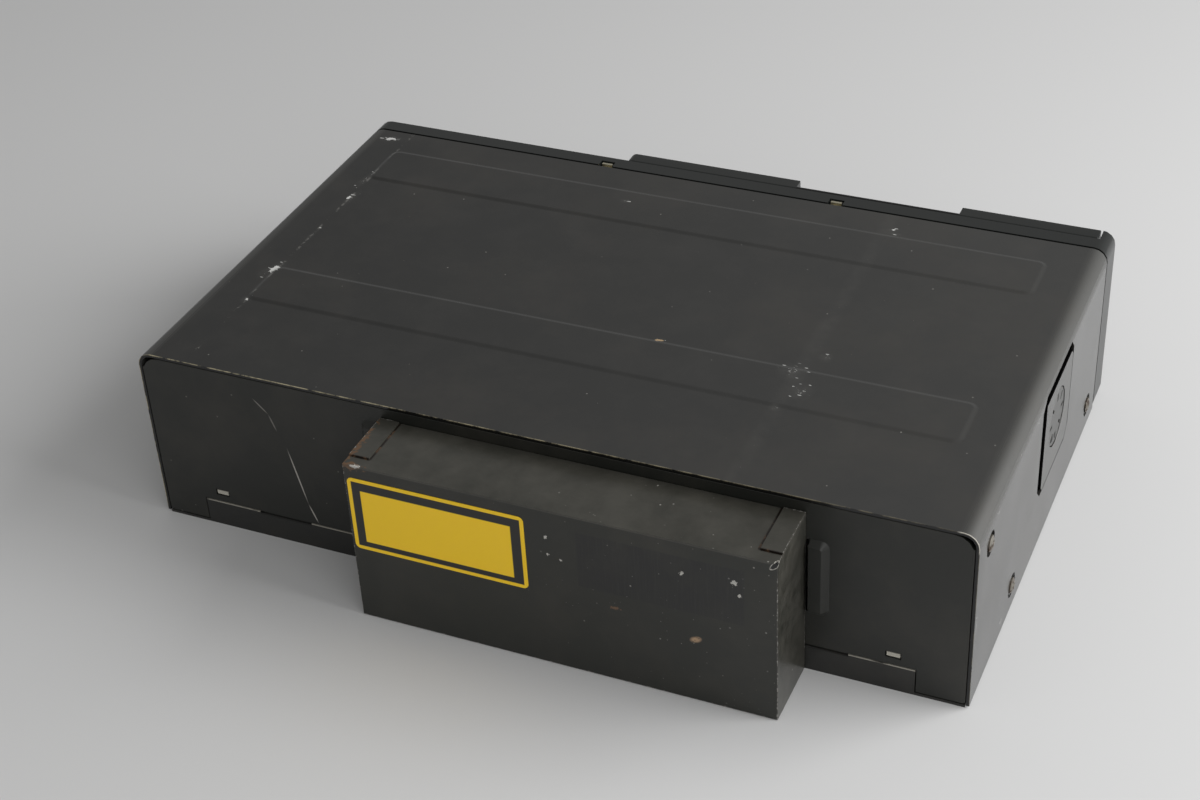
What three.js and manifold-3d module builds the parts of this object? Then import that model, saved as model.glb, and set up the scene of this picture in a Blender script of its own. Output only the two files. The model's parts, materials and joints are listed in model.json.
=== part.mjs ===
// A trunk-mounted changer for 12 cm discs. A flat steel case holds a magazine of six trays behind
// a fold-down door, and beside it a player deck that a sloped cam slide lifts to each tray.
// Millimetres. +Z is up, the door is at -Y, the rear connection box is at +Y.
// The origin is the middle of the base.
import * as THREE from 'three';
import { mergeVertices } from 'three/addons/utils/BufferGeometryUtils.js';
import Module from 'manifold-3d';

const wasm = await Module();
wasm.setup();

// Clearances that all pieces share
const seat = 0.3; // between pieces that rest on each other
const slip = 0.4; // around what slides or turns
const overrun = 1; // how far a cutter passes the face that it cuts
const sheetSkim = 0.03; // cut left over the floor where only the floor is cut
const arcSteps = 4; // facets in a rounded corner
const roundSteps = 16; // facets round a pin or a hole
const discSteps = 36; // facets round a disc pocket
const coilSteps = 7; // facets in one turn of a spring
const coilSides = 5; // facets round its wire
const gridStep = 1 / 4096; // corners stand on this grid, so that faces that meet meet exactly

// Case
const caseWidth = 283;
const caseHeight = 66;
const caseDepth = 163.5;
const bezelReach = 7;
const bezelGap = 1; // open line between the cover and the bezel
const doorReach = 6;
const moduleReach = 25;
const sheet = 1;
const bend = 5;
const moulded = 2.4; // wall of the front mouldings
const footClearance = 0.3; // the bezel and the door stay this far above the table
const skirtLift = 0.8; // the cover's sides end this far above the table

// Pressed ribs, notches and side openings of the cover
const ribInset = 17; // from the case's side to a rib's end
const ribWidth = 22;
const ribRise = 0.5;
const ribSlope = 1.2; // width of a rib's sloped border
const ribCorner = 3.4;
const frontRibInset = 13.8;
const rearRibInset = 40.4;
const tongueWidth = 4;
const tongueSpacing = 88.6;
const tongueGap = 0.7;
const tongueReach = 3.4; // from the cover's front edge to the tongue's tip
const windowWidth = 41;
const windowHead = 5; // from the window to the top of the case
const windowChamfer = 4;
const windowInset = 76; // from the rear edge to the window
const windowFoot = 22; // from the table to the window
const dimpleRadius = 6.2;
const dimpleDepth = 0.7;
const screwHeadRadius = 2.7;
const screwHeadHeight = 1.1;
const screwShankRadius = 1.5;
const screwShankLength = 3.4;
const upperScrewInset = 13.5;
const upperScrewDrop = 12.7; // from the top of the case
const rearScrewInset = 47.7;
const frontScrewInset = 151.2;
const lowerScrewHeight = 10.4;

// Base and rear panel
const flangeInset = 17; // from the case's side to the rear flange
const flangeHeight = 9.8;
const sideFlangeHeight = 16;
const tabInset = 48;
const tabWidth = 20;
const tabRise = 4.5; // how far a tab reaches up behind the rear panel
const slotInset = 24;
const slotHeight = 13.8;
const slotWidth = 5;
const slotOpening = 2.3;
const panelCorner = 6.5;
const panelEarDepth = 22;
const panelEarHeight = 20;
const fieldGap = 1.3; // open slot between the connection box and a raised field
const fieldWidth = 6;
const fieldLength = 28.5;
const rightFieldFoot = 23;
const leftFieldDrop = 7; // from the top of the case
const fieldRise = 2.2;
const fieldSlope = 1.8;
const fieldCorner = 2.5;

// Connection box on the rear panel
const boxLeft = 51.3;
const boxRight = 89.7;
const boxDrop = 4.7; // from the top of the case to the top of the box
const boxTabWidth = 6.8;
const boxTabRise = 0.5;
const boxTabEnd = 4.5;
const busRadius = 8.5;
const busBore = 6;
const busDepth = 11;
const busRim = 2;
const powerWidth = 12;
const powerHeight = 9;
const powerWall = 1.8;
const busHeight = 38;
const powerZ = 15;
const boardThickness = 1.6;

// Magazine, trays and their bay
const discShare = 0.213428; // radius of a tray's pocket to the case's width: 60.4 mm for a 12 cm disc
const trayCount = 6;
const trayMarginSide = 1.4;
const trayMarginFront = 2.3;
const pocketShare = 0.523; // depth of a tray's pocket to its thickness
const magazineDrop = 14; // from the top of the case to the magazine
const magazineFoot = 18;
const magazineFloor = 1.6;
const magazineWall = 2;
const gripDepth = 10;
const magazineRecess = 11.3; // from the door's inner face to the magazine's face
const combDepth = 1.5;
const combThick = 0.9;
const hookBay = 8; // length of the open corner that the tray hook reaches through
const bayClearance = 1.2;
const magazineInset = 7.5; // from the case's side
const scoopWidth = 62;
const scoopDepth = 5;
const scoopHeight = 20;
const reachShare = 0.452297; // a tray's travel to the turntable, 128 mm, to the case's width

// Door and its hinge
const doorLeft = 39.5;
const endCapWidth = 4.4;
const doorSideGap = 0.7;
const recessLeft = 27.5;
const recessRight = 87.4;
const recessFloor = 1.2;
const recessDrop = 16;
const recessRamp = 7;
const hingePinRadius = 1.1;
const earWidth = 4;
const earOffset = 7.5; // from the door's left end to the hinge ear
const pinInCap = 2.6;

// Eject button and its switch
const buttonX = 22;
const buttonZ = 35;
const buttonWidth = 20;
const buttonHeight = 13;
const buttonProud = 1.7;
const buttonTravel = 1.5;
const buttonFlange = 2;
const buttonFlangeThick = 1.2;
const switchWidth = 7;
const switchDepth = 1.6;
const plungerRadius = 1.7;
const switchBoardWidth = 26;
const switchBoardHeight = 20;

// Inner chassis and what it stands on
const chassisWall = 1.2;
const chassisFloorZ = 7;
const chassisWallTop = 50;
const chassisFront = 4; // from the cover's front edge to the chassis floor
const chassisRear = 4.5;
const damperInsetX = 11;
const damperInsetFront = 14;
const damperInsetRear = 12;
const damperRadius = 6;
const damperNeck = 4;
const springTurns = 9;
const springRadius = 1.4;
const springWire = 0.6;
const springInset = 12; // behind the window's rear edge
const springFoot = 22;
const springLength = 26;
const hookThick = 1;
const hookWidth = 5;

// Side adjusters
const adjusterTopGap = 3;
const adjusterRearGap = 3.4;
const adjusterGap = 0.5;
const adjusterMargin = 3;
const dialRadius = 10;
const dialShiftY = 1.5;
const dialThick = 1.6;
const dialLip = 2;
const hookArm = 1.8; // thickness of the tray puller's arm
const dialSlots = 8;
const dialSlotRadius = 7.4;
const dialSlotLength = 2.8;
const dialSlotWidth = 1.1;

// Deck with its turntable, pickup and clamp
const deckPlate = 1.5;
const deckZ = 14;
const rodDrop = 4.2; // from the deck plate's underside to the guide rods
const deckEdge = 0.5; // from the disc bay's wall to the deck
const deckMarginFront = 1.2;
const guidePinRadius = 1.5;
const guidePinZ = 11.5;
const platterRadius = 13;
const platterThick = 1.8;
const platterTop = 19.4;
const coneRadius = 7.3;
const coneRise = 2;
const motorRadius = 9.5;
const motorHeight = 7.3;
const shaftRadius = 1;
const rodRadius = 1.25;
const rodSpacing = 34;
const rodInset = 6; // from the deck centre line to the rods' first holder
const rodEnd = 3.9; // from the rods to the deck's far edge
const holderWidth = 3;
const sledLength = 20;
const sledHeight = 4.4;
const sledEnd = 1; // left at the end of the sled's travel
const sledStart = 23; // the lens starts at this radius on the disc
const lensRadius = 4;
const lensRise = 3.6;
const screwRadius = 1.6;
const screwOffset = 24;
const screwMotorLength = 14;
const threadLead = 3;
const clampPinHeight = 30.5;
const clampPinRadius = 1;
const clampEarHalf = 14;
const clampEarWidth = 6;
const clampArmHalf = 11;
const clampArmThick = 1.5;
const clampArmZ = 27.8;
const clampLip = 2;
const puckRadius = 13;
const puckNeck = 8;
const puckBottom = 25;

// Lift slide and its drive
const pitchTravelShare = 1.5; // slide travel for each unit of lift
const discLift = 2; // the deck takes a disc off its tray by this much
const slideWall = 1.2;
const slideZ = 3.6;
const slotMargin = 3;
const slideWeb = 36;
const gearModule = 1;
const rackTeeth = 16;
const pinionTeeth = 10;
const wheelTeeth = 28;
const motorTeeth = 12;
const wheelModule = 0.7;
const gearThick = 2.6;
const toothBacklash = 0.25;
const liftMotorRadius = 9;
const liftMotorLength = 11;

// Boards inside
const chipHeight = 1.8;
const capRadius = 2.4;
const boardLift = 2;

// Proportions of small shapes
const dedendumShare = 1.25;
const toothRootShare = 1.5;
const toothTipShare = 0.5;
const flankAngle = 20;
const gearInsetShare = 4;
const nibShares = [0.6, 0.3];
const lensWellShare = 1.5;
const lensBarrelShare = 1.4;
const lensShoulderShare = 0.6;
const lensCrownShare = 0.9;
const motorFootShare = 0.9;
const motorCollarShare = 2.5;
const hubShare = 3;
const coneTopShare = 0.85;
const headShares = [[0, 0], [1, 0], [1, 0.55], [0.62, 1], [0, 1]];
const damperShares = [[0, 0], [1, 0], [1, 0.25], [0.72, 0.5], [0.72, 0.7], [1, 1]];
const smallChipShares = [0.15, 0.4, 0.7];
const chipShares = [[0.2, 0.3, 0.16], [0.55, 0.35, 0.2], [0.3, 0.72, 0.12], [0.75, 0.75, 0.1]];
const capShares = [0.15, 0.5, 0.85];

// Planes of the case and sizes that follow from it
const wholeDepth = caseDepth + bezelReach + doorReach + moduleReach;
const moduleFaceY = wholeDepth / 2;
const rearY = moduleFaceY - moduleReach;
const coverFrontY = rearY - caseDepth;
const bezelFrontY = coverFrontY - bezelReach;
const doorFrontY = bezelFrontY - doorReach;
const bezelBackY = coverFrontY - bezelGap;
const halfWidth = caseWidth / 2;
const boxHeight = caseHeight - boxDrop;
const flangeHalf = halfWidth - flangeInset;
const slotSpacing = caseWidth - 2 * slotInset;
const tabSpacing = caseWidth - 2 * tabInset;
const magazineRight = halfWidth - magazineInset;
const magazineHeight = caseHeight - magazineDrop - magazineFoot;
const discRadius = caseWidth * discShare;
const trayReach = caseWidth * reachShare;
const innerHalf = halfWidth - sheet; // inner face of the cover's sides
const linerHalf = innerHalf - seat; // outer face of what stands inside the cover
const innerTop = caseHeight - sheet;

// Outlines, solids and how they are placed

const mid = (span) => (span[0] + span[1]) / 2;
const length = (span) => span[1] - span[0];
const around = (centre, size) => [centre - size / 2, centre + size / 2];

function arc(centreU, centreV, radius, from, to, steps) {
  const points = [];
  for (let i = 0; i <= steps; i += 1) {
    const angle = from + ((to - from) * i) / steps;
    points.push(new THREE.Vector2(centreU + radius * Math.cos(angle), centreV + radius * Math.sin(angle)));
  }
  return points;
}

// A rectangle whose corners are rounded, given as low-low, high-low, high-high and low-high radii
function rounded(u, v, radii) {
  const [a, b, c, d] = Array.isArray(radii) ? radii : [radii, radii, radii, radii];
  const quarter = Math.PI / 2;
  const corner = (cu, cv, r, turn) => (r > 0
    ? arc(cu, cv, r, turn * quarter, (turn + 1) * quarter, arcSteps)
    : [new THREE.Vector2(cu, cv)]);
  return [
    ...corner(u[0] + a, v[0] + a, a, 2),
    ...corner(u[1] - b, v[0] + b, b, 3),
    ...corner(u[1] - c, v[1] - c, c, 0),
    ...corner(u[0] + d, v[1] - d, d, 1),
  ];
}

function chamfered(u, v, cut) {
  return [
    [u[0] + cut, v[0]], [u[1] - cut, v[0]], [u[1], v[0] + cut], [u[1], v[1] - cut],
    [u[1] - cut, v[1]], [u[0] + cut, v[1]], [u[0], v[1] - cut], [u[0], v[0] + cut],
  ].map(([a, b]) => new THREE.Vector2(a, b));
}

function polygon(points) {
  return points.map(([a, b]) => new THREE.Vector2(a, b));
}

// A closed three.js geometry as a solid. Triangles that shrink to a line at a pole are left out.
function solidOf(geometry) {
  const plain = geometry.index ? geometry.toNonIndexed() : geometry.clone();
  const places = plain.attributes.position.array;
  for (let i = 0; i < places.length; i += 1) places[i] = Math.round(places[i] / gridStep) * gridStep;
  plain.deleteAttribute('normal');
  plain.deleteAttribute('uv');
  const merged = mergeVertices(plain);
  const source = merged.index.array;
  const kept = [];
  for (let i = 0; i < source.length; i += 3) {
    const [a, b, c] = [source[i], source[i + 1], source[i + 2]];
    if (a !== b && b !== c && c !== a) kept.push(a, b, c);
  }
  return new wasm.Manifold(new wasm.Mesh({
    numProp: 3,
    vertProperties: new Float32Array(merged.attributes.position.array),
    triVerts: new Uint32Array(kept),
  }));
}

// For each axis: where the outline's two directions and the extrusion point
const directions = {
  x: [new THREE.Vector3(0, 1, 0), new THREE.Vector3(0, 0, 1), new THREE.Vector3(1, 0, 0)],
  y: [new THREE.Vector3(1, 0, 0), new THREE.Vector3(0, 0, 1), new THREE.Vector3(0, -1, 0)],
  z: [new THREE.Vector3(1, 0, 0), new THREE.Vector3(0, 1, 0), new THREE.Vector3(0, 0, 1)],
};

function extruded(outline, axis, span) {
  const shape = new THREE.Shape(outline);
  const geometry = new THREE.ExtrudeGeometry(shape, { depth: length(span), bevelEnabled: false });
  geometry.applyMatrix4(new THREE.Matrix4().makeBasis(...directions[axis]));
  const start = axis === 'y' ? span[1] : span[0];
  geometry.translate(axis === 'x' ? start : 0, axis === 'y' ? start : 0, axis === 'z' ? start : 0);
  return solidOf(geometry);
}

function block(x, y, z) {
  const geometry = new THREE.BoxGeometry(length(x), length(y), length(z));
  geometry.translate(mid(x), mid(y), mid(z));
  return solidOf(geometry);
}

// A field with sloped sides: a wide outline at the first place and a narrow one at the second
function raised(wide, narrow, axis, [from, to]) {
  const [u, v, w] = directions[axis];
  const hand = w.dot(new THREE.Vector3(1, 1, 1));
  const positions = [];
  for (const [outline, place] of [[wide, from], [narrow, to]]) {
    for (const point of outline) {
      const at = u.clone().multiplyScalar(point.x).addScaledVector(v, point.y).addScaledVector(w, place * hand);
      positions.push(at.x, at.y, at.z);
    }
  }
  const count = wide.length;
  const index = [];
  for (const [a, b, c] of THREE.ShapeUtils.triangulateShape(wide, [])) {
    index.push(a, c, b, count + a, count + b, count + c);
  }
  for (let i = 0; i < count; i += 1) {
    const next = (i + 1) % count;
    index.push(i, next, count + next, i, count + next, count + i);
  }
  if ((to - from) * hand < 0) index.reverse();
  const geometry = new THREE.BufferGeometry();
  geometry.setAttribute('position', new THREE.BufferAttribute(new Float32Array(positions), 3));
  geometry.setIndex(index);
  return solidOf(geometry);
}

// A round bar along an axis; the centre is given in the two other directions, in X, Y, Z order
function bar(axis, centre, radius, span, steps = roundSteps) {
  const ring = arc(centre[0], centre[1], radius, 0, 2 * Math.PI, steps).slice(0, -1);
  return extruded(ring, axis, span);
}

// A turned piece: pairs of radius and height along the axis, from axis to axis
function turned(profile, axis, place, steps = roundSteps) {
  const points = profile.map(([r, h]) => new THREE.Vector2(r, h));
  const geometry = new THREE.LatheGeometry(points, steps);
  if (axis === 'x') geometry.rotateZ(-Math.PI / 2);
  if (axis === 'z') geometry.rotateX(Math.PI / 2);
  geometry.translate(...place);
  const solid = solidOf(geometry);
  return solid;
}

const join = (...solids) => solids.reduce((whole, next) => whole.add(next));
const cut = (body, ...tools) => tools.reduce((whole, tool) => whole.subtract(tool), body);

// Materials of the real pieces
const finishes = {
  paintedSteel: [0x45474a, 0.45, 0.5],
  darkSteel: [0x2b2b29, 0.6, 0.4],
  zincSteel: [0x9a9c9e, 0.35, 0.9],
  blackPlastic: [0x2a2d2b, 0.6, 0],
  bezelPlastic: [0x323735, 0.55, 0],
  greyPlastic: [0x6a6c6e, 0.6, 0],
  whitePlastic: [0xd8d8d0, 0.5, 0],
  rubber: [0x1a1a1a, 0.9, 0],
  board: [0x2d5a33, 0.6, 0],
  brass: [0xb08d48, 0.35, 0.9],
  polishedSteel: [0xc8c8c8, 0.2, 1],
};

const root = new THREE.Group();

function piece(name, solid, finish) {
  const out = solid.getMesh();
  const geometry = new THREE.BufferGeometry();
  geometry.setAttribute('position', new THREE.BufferAttribute(new Float32Array(out.vertProperties), 3));
  geometry.setIndex(new THREE.BufferAttribute(new Uint32Array(out.triVerts), 1));
  geometry.computeVertexNormals();
  const [color, roughness, metalness] = finishes[finish];
  const material = new THREE.MeshStandardMaterial({ color, roughness, metalness });
  const mesh = new THREE.Mesh(geometry, material);
  mesh.name = name;
  root.add(mesh);
  return mesh;
}

// Places that several pieces share
const screwSpots = [
  { y: rearY - upperScrewInset, z: caseHeight - upperScrewDrop },
  { y: rearY - rearScrewInset, z: lowerScrewHeight },
  { y: rearY - frontScrewInset, z: lowerScrewHeight },
];
const windowSpanY = [rearY - windowInset - windowWidth, rearY - windowInset];
const windowSpanZ = [windowFoot, caseHeight - windowHead];
const tongueSpots = [-tongueSpacing / 2, tongueSpacing / 2];
const linerFoot = sheet + seat; // top of the base plate with a gap
const linerTop = innerTop - seat;

// Door, hinge and magazine planes
const doorBackY = bezelFrontY - slip;
const barrelRadius = (doorBackY - doorFrontY) / 2;
const hingeY = doorFrontY + barrelRadius;
const hingeZ = footClearance + barrelRadius;
const doorInnerY = doorFrontY + moulded;
const doorRight = -halfWidth + endCapWidth + doorSideGap;
const bezelInnerY = bezelFrontY + moulded;
const magazineFrontY = doorInnerY + magazineRecess;
const trayWidth = 2 * (discRadius + trayMarginSide);
const trayDepth = 2 * (discRadius + trayMarginFront);
const magazineX = [-magazineRight, -magazineRight + magazineWall + seat + trayWidth + magazineWall];
const trayX = [magazineX[0] + magazineWall + seat, magazineX[0] + magazineWall + seat + trayWidth];
const trayY = [magazineFrontY + gripDepth + seat, magazineFrontY + gripDepth + seat + trayDepth];
const magazineY = [magazineFrontY, trayY[1] + seat + magazineWall];
const magazineZ = [magazineFoot, magazineFoot + magazineHeight];
const discX = mid(trayX);
const discY = mid(trayY);
const trayPitch = (magazineHeight - 2 * magazineFloor) / trayCount;
const trayThick = trayPitch - combThick - 2 * seat;
const deckCentreX = discX + trayReach;
const lift = trayPitch * (trayCount - 1) + discLift;
const slideTravel = lift * pitchTravelShare;

// The case

function topCover() {
  const side = (inset, rise) => rounded(
    [-halfWidth + inset, halfWidth - inset],
    [skirtLift - rise, caseHeight - inset],
    [0, 0, bend - inset, bend - inset],
  );
  const y = [coverFrontY, rearY];
  const shell = cut(
    extruded(side(0, 0), 'y', y),
    extruded(side(sheet, sheet + overrun), 'y', [y[0] - overrun, y[1] + overrun]),
  );
  const ribEnd = halfWidth - ribInset;
  const outline = (front, grow) => rounded(
    [-ribEnd - grow, ribEnd + grow],
    [front - grow, front + ribWidth + grow],
    ribCorner + grow,
  );
  const rib = (front, grow, height) => raised(
    outline(front, grow + ribSlope),
    outline(front, grow - ribSlope),
    'z',
    [height - ribRise, height + ribRise],
  );
  const ribFronts = [coverFrontY + frontRibInset, rearY - rearRibInset - ribWidth];
  let body = shell;
  for (const front of ribFronts) {
    body = join(body, rib(front, 0, caseHeight));
    body = cut(body, rib(front, -ribSlope, innerTop));
  }
  for (const hand of [-1, 1]) {
    const wall = (from, to) => [hand * (halfWidth - from), hand * (halfWidth - to)].sort((a, b) => a - b);
    for (const spot of screwSpots) {
      body = join(body, bar('x', [spot.y, spot.z], dimpleRadius - sheet, wall(sheet + dimpleDepth / 2, 0)));
      body = cut(
        body,
        bar('x', [spot.y, spot.z], dimpleRadius - 2 * sheet, wall(dimpleDepth, -overrun)),
        bar('x', [spot.y, spot.z], screwShankRadius + seat, wall(sheet + overrun, -overrun), arcSteps * 2),
      );
    }
    body = cut(body, extruded(
      chamfered(windowSpanY, windowSpanZ, windowChamfer),
      'x',
      wall(sheet + overrun, -overrun),
    ));
  }
  piece('top_cover', body, 'paintedSteel');
}

function bottomPlate() {
  const y = [coverFrontY + sheet + seat, rearY];
  const floor = block([-linerHalf, linerHalf], y, [0, sheet]);
  let body = join(
    floor,
    block([-flangeHalf, flangeHalf], [rearY - sheet, rearY], [0, flangeHeight]),
  );
  const flangeStart = rearY - frontScrewInset - dimpleRadius;
  const flangeEnd = rearY - rearScrewInset + dimpleRadius;
  for (const hand of [-1, 1]) {
    const wall = [hand * linerHalf, hand * (linerHalf - sheet)].sort((a, b) => a - b);
    body = join(body, block(wall, [flangeStart, flangeEnd], [0, sideFlangeHeight]));
    for (const spot of screwSpots.slice(1)) {
      body = cut(
        body,
        bar(
          'x',
          [spot.y, spot.z],
          screwShankRadius + seat,
          [wall[0] - overrun, wall[1] + overrun],
          arcSteps * 2,
        ),
      );
      body = cut(
        body,
        bar(
          'x',
          [spot.y, spot.z],
          dimpleRadius,
          hand > 0 ? [wall[1] - dimpleDepth / 2, wall[1] + overrun] : [
            wall[0] - overrun,
            wall[0] + dimpleDepth / 2,
          ],
        ),
      );
    }
    const tabX = around(hand * tabSpacing / 2, tabWidth);
    const behind = [rearY - 2 * sheet - seat, rearY - sheet - seat];
    body = cut(
      body,
      block(
        [tabX[0], tabX[1]],
        [rearY - sheet - overrun, rearY + overrun],
        [flangeHeight - sheet, flangeHeight + overrun],
      ),
    );
    body = join(
      body,
      block(tabX, behind, [0, flangeHeight + tabRise]),
      block(tabX, [behind[0], rearY], [flangeHeight - 3 * sheet, flangeHeight - sheet]),
    );
    const hookX = around(hand * slotSpacing / 2, slotWidth - 2 * slip);
    body = join(
      body,
      block(hookX, behind, [0, slotHeight + slotOpening]),
      block(hookX, [behind[0], rearY - seat], around(slotHeight, slotOpening - 2 * slip)),
    );
  }
  piece('bottom_plate', body, 'darkSteel');
}

// The raised fields of the rear panel, each beside an end of the connection box
const raisedFields = [
  { hand: -1, near: -boxRight, z: [rightFieldFoot, rightFieldFoot + fieldLength] },
  { hand: 1, near: boxLeft, z: [caseHeight - leftFieldDrop - fieldLength, caseHeight - leftFieldDrop] },
];

function rearPanel() {
  const y = [rearY - sheet, rearY];
  const x = [-linerHalf, linerHalf];
  let body = extruded(rounded(x, [linerFoot, linerTop], [sheet, sheet, panelCorner, panelCorner]), 'y', y);
  for (const { hand, near, z } of raisedFields) {
    const span = (from, to) => [near + hand * from, near + hand * to].sort((a, b) => a - b);
    const outline = (grow) => rounded(
      span(fieldGap, fieldGap + fieldWidth + grow),
      [z[0] - grow, z[1] + grow],
      [...(hand < 0 ? [1, 0, 0, 1] : [0, 1, 1, 0])].map((on) => on * (fieldCorner + grow)),
    );
    body = join(body, raised(outline(0), outline(-fieldSlope), 'y', [rearY, rearY + fieldRise]));
    body = join(body, extruded(outline(0), 'y', y));
    body = cut(
      body,
      raised(
        outline(-fieldSlope),
        outline(-fieldSlope - sheet / 2),
        'y',
        [y[0] - seat, rearY + fieldRise - sheet],
      ),
      block(span(0, fieldGap), [y[0] - overrun, y[1] + overrun], [z[0] + seat, z[1] - seat]),
    );
  }
  body = cut(body, block(
    [-flangeHalf - seat, flangeHalf + seat],
    [y[0] - overrun, y[1] + overrun],
    [linerFoot - overrun, flangeHeight + seat],
  ));
  for (const hand of [-1, 1]) {
    body = cut(body, block(
      around(hand * slotSpacing / 2, slotWidth),
      [y[0] - overrun, y[1] + overrun],
      around(slotHeight, slotOpening),
    ));
    const wall = [hand * linerHalf, hand * (linerHalf - sheet)].sort((a, b) => a - b);
    const spot = screwSpots[0];
    const earTop = caseHeight - bend - seat;
    const ear = block(wall, [rearY - panelEarDepth, rearY], [earTop - panelEarHeight, earTop]);
    body = join(body, ear);
    body = cut(
      body,
      bar(
        'x',
        [spot.y, spot.z],
        screwShankRadius + seat,
        [wall[0] - overrun, wall[1] + overrun],
        arcSteps * 2,
      ),
      bar(
        'x',
        [spot.y, spot.z],
        dimpleRadius,
        hand > 0 ? [wall[1] - dimpleDepth / 2, wall[1] + overrun] : [
          wall[0] - overrun,
          wall[0] + dimpleDepth / 2,
        ],
      ),
    );
  }
  piece('rear_panel', body, 'darkSteel');
}

function frontFrame() {
  const y = [coverFrontY, coverFrontY + sheet];
  const topFlange = 3 * bend;
  let body = join(
    extruded(
      rounded([-linerHalf, linerHalf], [linerFoot, linerTop], [sheet, sheet, panelCorner, panelCorner]),
      'y',
      y,
    ),
    block([-linerHalf + bend, linerHalf - bend], [y[0], y[0] + topFlange], [linerTop - sheet, linerTop]),
  );
  for (const x of tongueSpots) {
    const tip = coverFrontY - tongueReach;
    const leafTop = caseHeight - moulded - seat;
    body = join(
      body,
      block(around(x, tongueWidth), [tip, y[1]], [leafTop - sheet, leafTop]),
      block(around(x, tongueWidth), [tip, tip + sheet], [leafTop - sheet, caseHeight - slip]),
    );
  }
  const through = [y[0] - overrun, y[1] + overrun];
  body = cut(
    body,
    block(slotX(moulded), through, slotZ(moulded)),
    block(around(buttonX, buttonWidth), through, around(buttonZ, buttonHeight)),
  );
  piece('front_frame', body, 'zincSteel');
}

const slotX = (grow) => [magazineX[0] - bayClearance / 2 - grow, magazineX[1] + bayClearance / 2 + grow];
const slotZ = (grow) => [magazineZ[0] - bayClearance / 2 - grow, magazineZ[1] + bayClearance / 2 + grow];

function frontBezel() {
  const z = [footClearance, caseHeight];
  const outline = (inset) => rounded(
    [-halfWidth + inset, halfWidth - inset],
    [z[0] + inset, z[1] - inset],
    [bend / 2, bend / 2, bend - inset / 2, bend - inset / 2],
  );
  let body = cut(
    extruded(outline(0), 'y', [bezelFrontY, bezelBackY]),
    extruded(outline(moulded), 'y', [bezelInnerY, bezelBackY + overrun]),
  );
  const cap = extruded(outline(0), 'y', [doorFrontY, bezelFrontY + moulded])
    .intersect(block([-halfWidth, -halfWidth + endCapWidth], [doorFrontY, bezelFrontY + moulded], z));
  body = join(body, cap);
  const collar = block(slotX(moulded), [bezelInnerY - moulded / 2, bezelBackY], slotZ(moulded));
  body = join(body, collar);
  const earX = hingeEarX();
  const ear = [
    [bezelFrontY + moulded / 2, hingeZ - barrelRadius + slip],
    [bezelFrontY + moulded / 2, hingeZ + barrelRadius - slip],
  ];
  const nose = arc(hingeY, hingeZ, barrelRadius - slip, Math.PI / 2, Math.PI * 1.5, arcSteps * 2);
  for (const x of earX) {
    body = join(body, extruded([polygon(ear)[0], polygon(ear)[1], ...nose], 'x', x));
  }
  for (const x of tongueSpots) {
    body = cut(body, block(
      around(x, tongueWidth + 2 * tongueGap),
      [coverFrontY - tongueReach - tongueGap, bezelBackY + overrun],
      [caseHeight - moulded - overrun, caseHeight + overrun],
    ));
  }
  body = cut(
    body,
    block(slotX(0), [bezelFrontY - overrun, bezelBackY + overrun], slotZ(0)),
    block(
      around(buttonX, buttonWidth + 2 * slip),
      [bezelFrontY - overrun, bezelInnerY + overrun],
      around(buttonZ, buttonHeight + 2 * slip),
    ),
    bar('x', [hingeY, hingeZ], hingePinRadius + seat, [doorRight - doorSideGap - pinInCap, doorLeft]),
  );
  piece('front_bezel', body, 'bezelPlastic');
}

function hingeEarX() {
  const left = doorLeft - earOffset;
  const middle = -(recessLeft + recessRight) / 2;
  return [around(left, earWidth), around(middle, earWidth)];
}

function door() {
  const x = [doorRight, doorLeft - doorSideGap];
  const z = [hingeZ, caseHeight];
  const y = [doorFrontY, doorBackY];
  let body = extruded(rounded(x, z, [0, 0, moulded, 0]), 'y', y);
  body = join(body, bar('x', [hingeY, hingeZ], barrelRadius, x));
  body = cut(body, block(
    [x[0] + moulded, x[1] - moulded],
    [doorInnerY, y[1] + overrun],
    [hingeZ + barrelRadius + slip, z[1] - moulded],
  ));
  const recess = [-recessRight, -recessLeft];
  const floorY = doorBackY - recessFloor;
  body = join(body, block(
    [recess[0] - moulded, recess[1] + moulded],
    y,
    [z[1] - recessDrop - recessRamp - moulded, z[1]],
  ));
  const scoop = polygon([
    [doorFrontY - overrun, z[1] + overrun],
    [floorY, z[1] + overrun],
    [floorY, z[1] - recessDrop],
    [doorFrontY - overrun, z[1] - recessDrop - recessRamp],
  ]).reverse();
  body = cut(body, extruded(scoop, 'x', recess));
  for (const ear of hingeEarX()) {
    body = cut(body, block(
      [ear[0] - slip, ear[1] + slip],
      [y[0] - overrun, y[1] + overrun],
      [hingeZ - barrelRadius - overrun, hingeZ + barrelRadius + slip],
    ));
  }
  const boreEnd = doorLeft - doorSideGap - moulded;
  body = cut(body, bar('x', [hingeY, hingeZ], hingePinRadius + seat, [doorRight - overrun, boreEnd]));
  piece('door', body, 'bezelPlastic');
  const pinX = [doorRight - doorSideGap - pinInCap + seat, boreEnd - seat];
  piece('door_hinge_pin', bar('x', [hingeY, hingeZ], hingePinRadius, pinX), 'polishedSteel');
}

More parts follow.
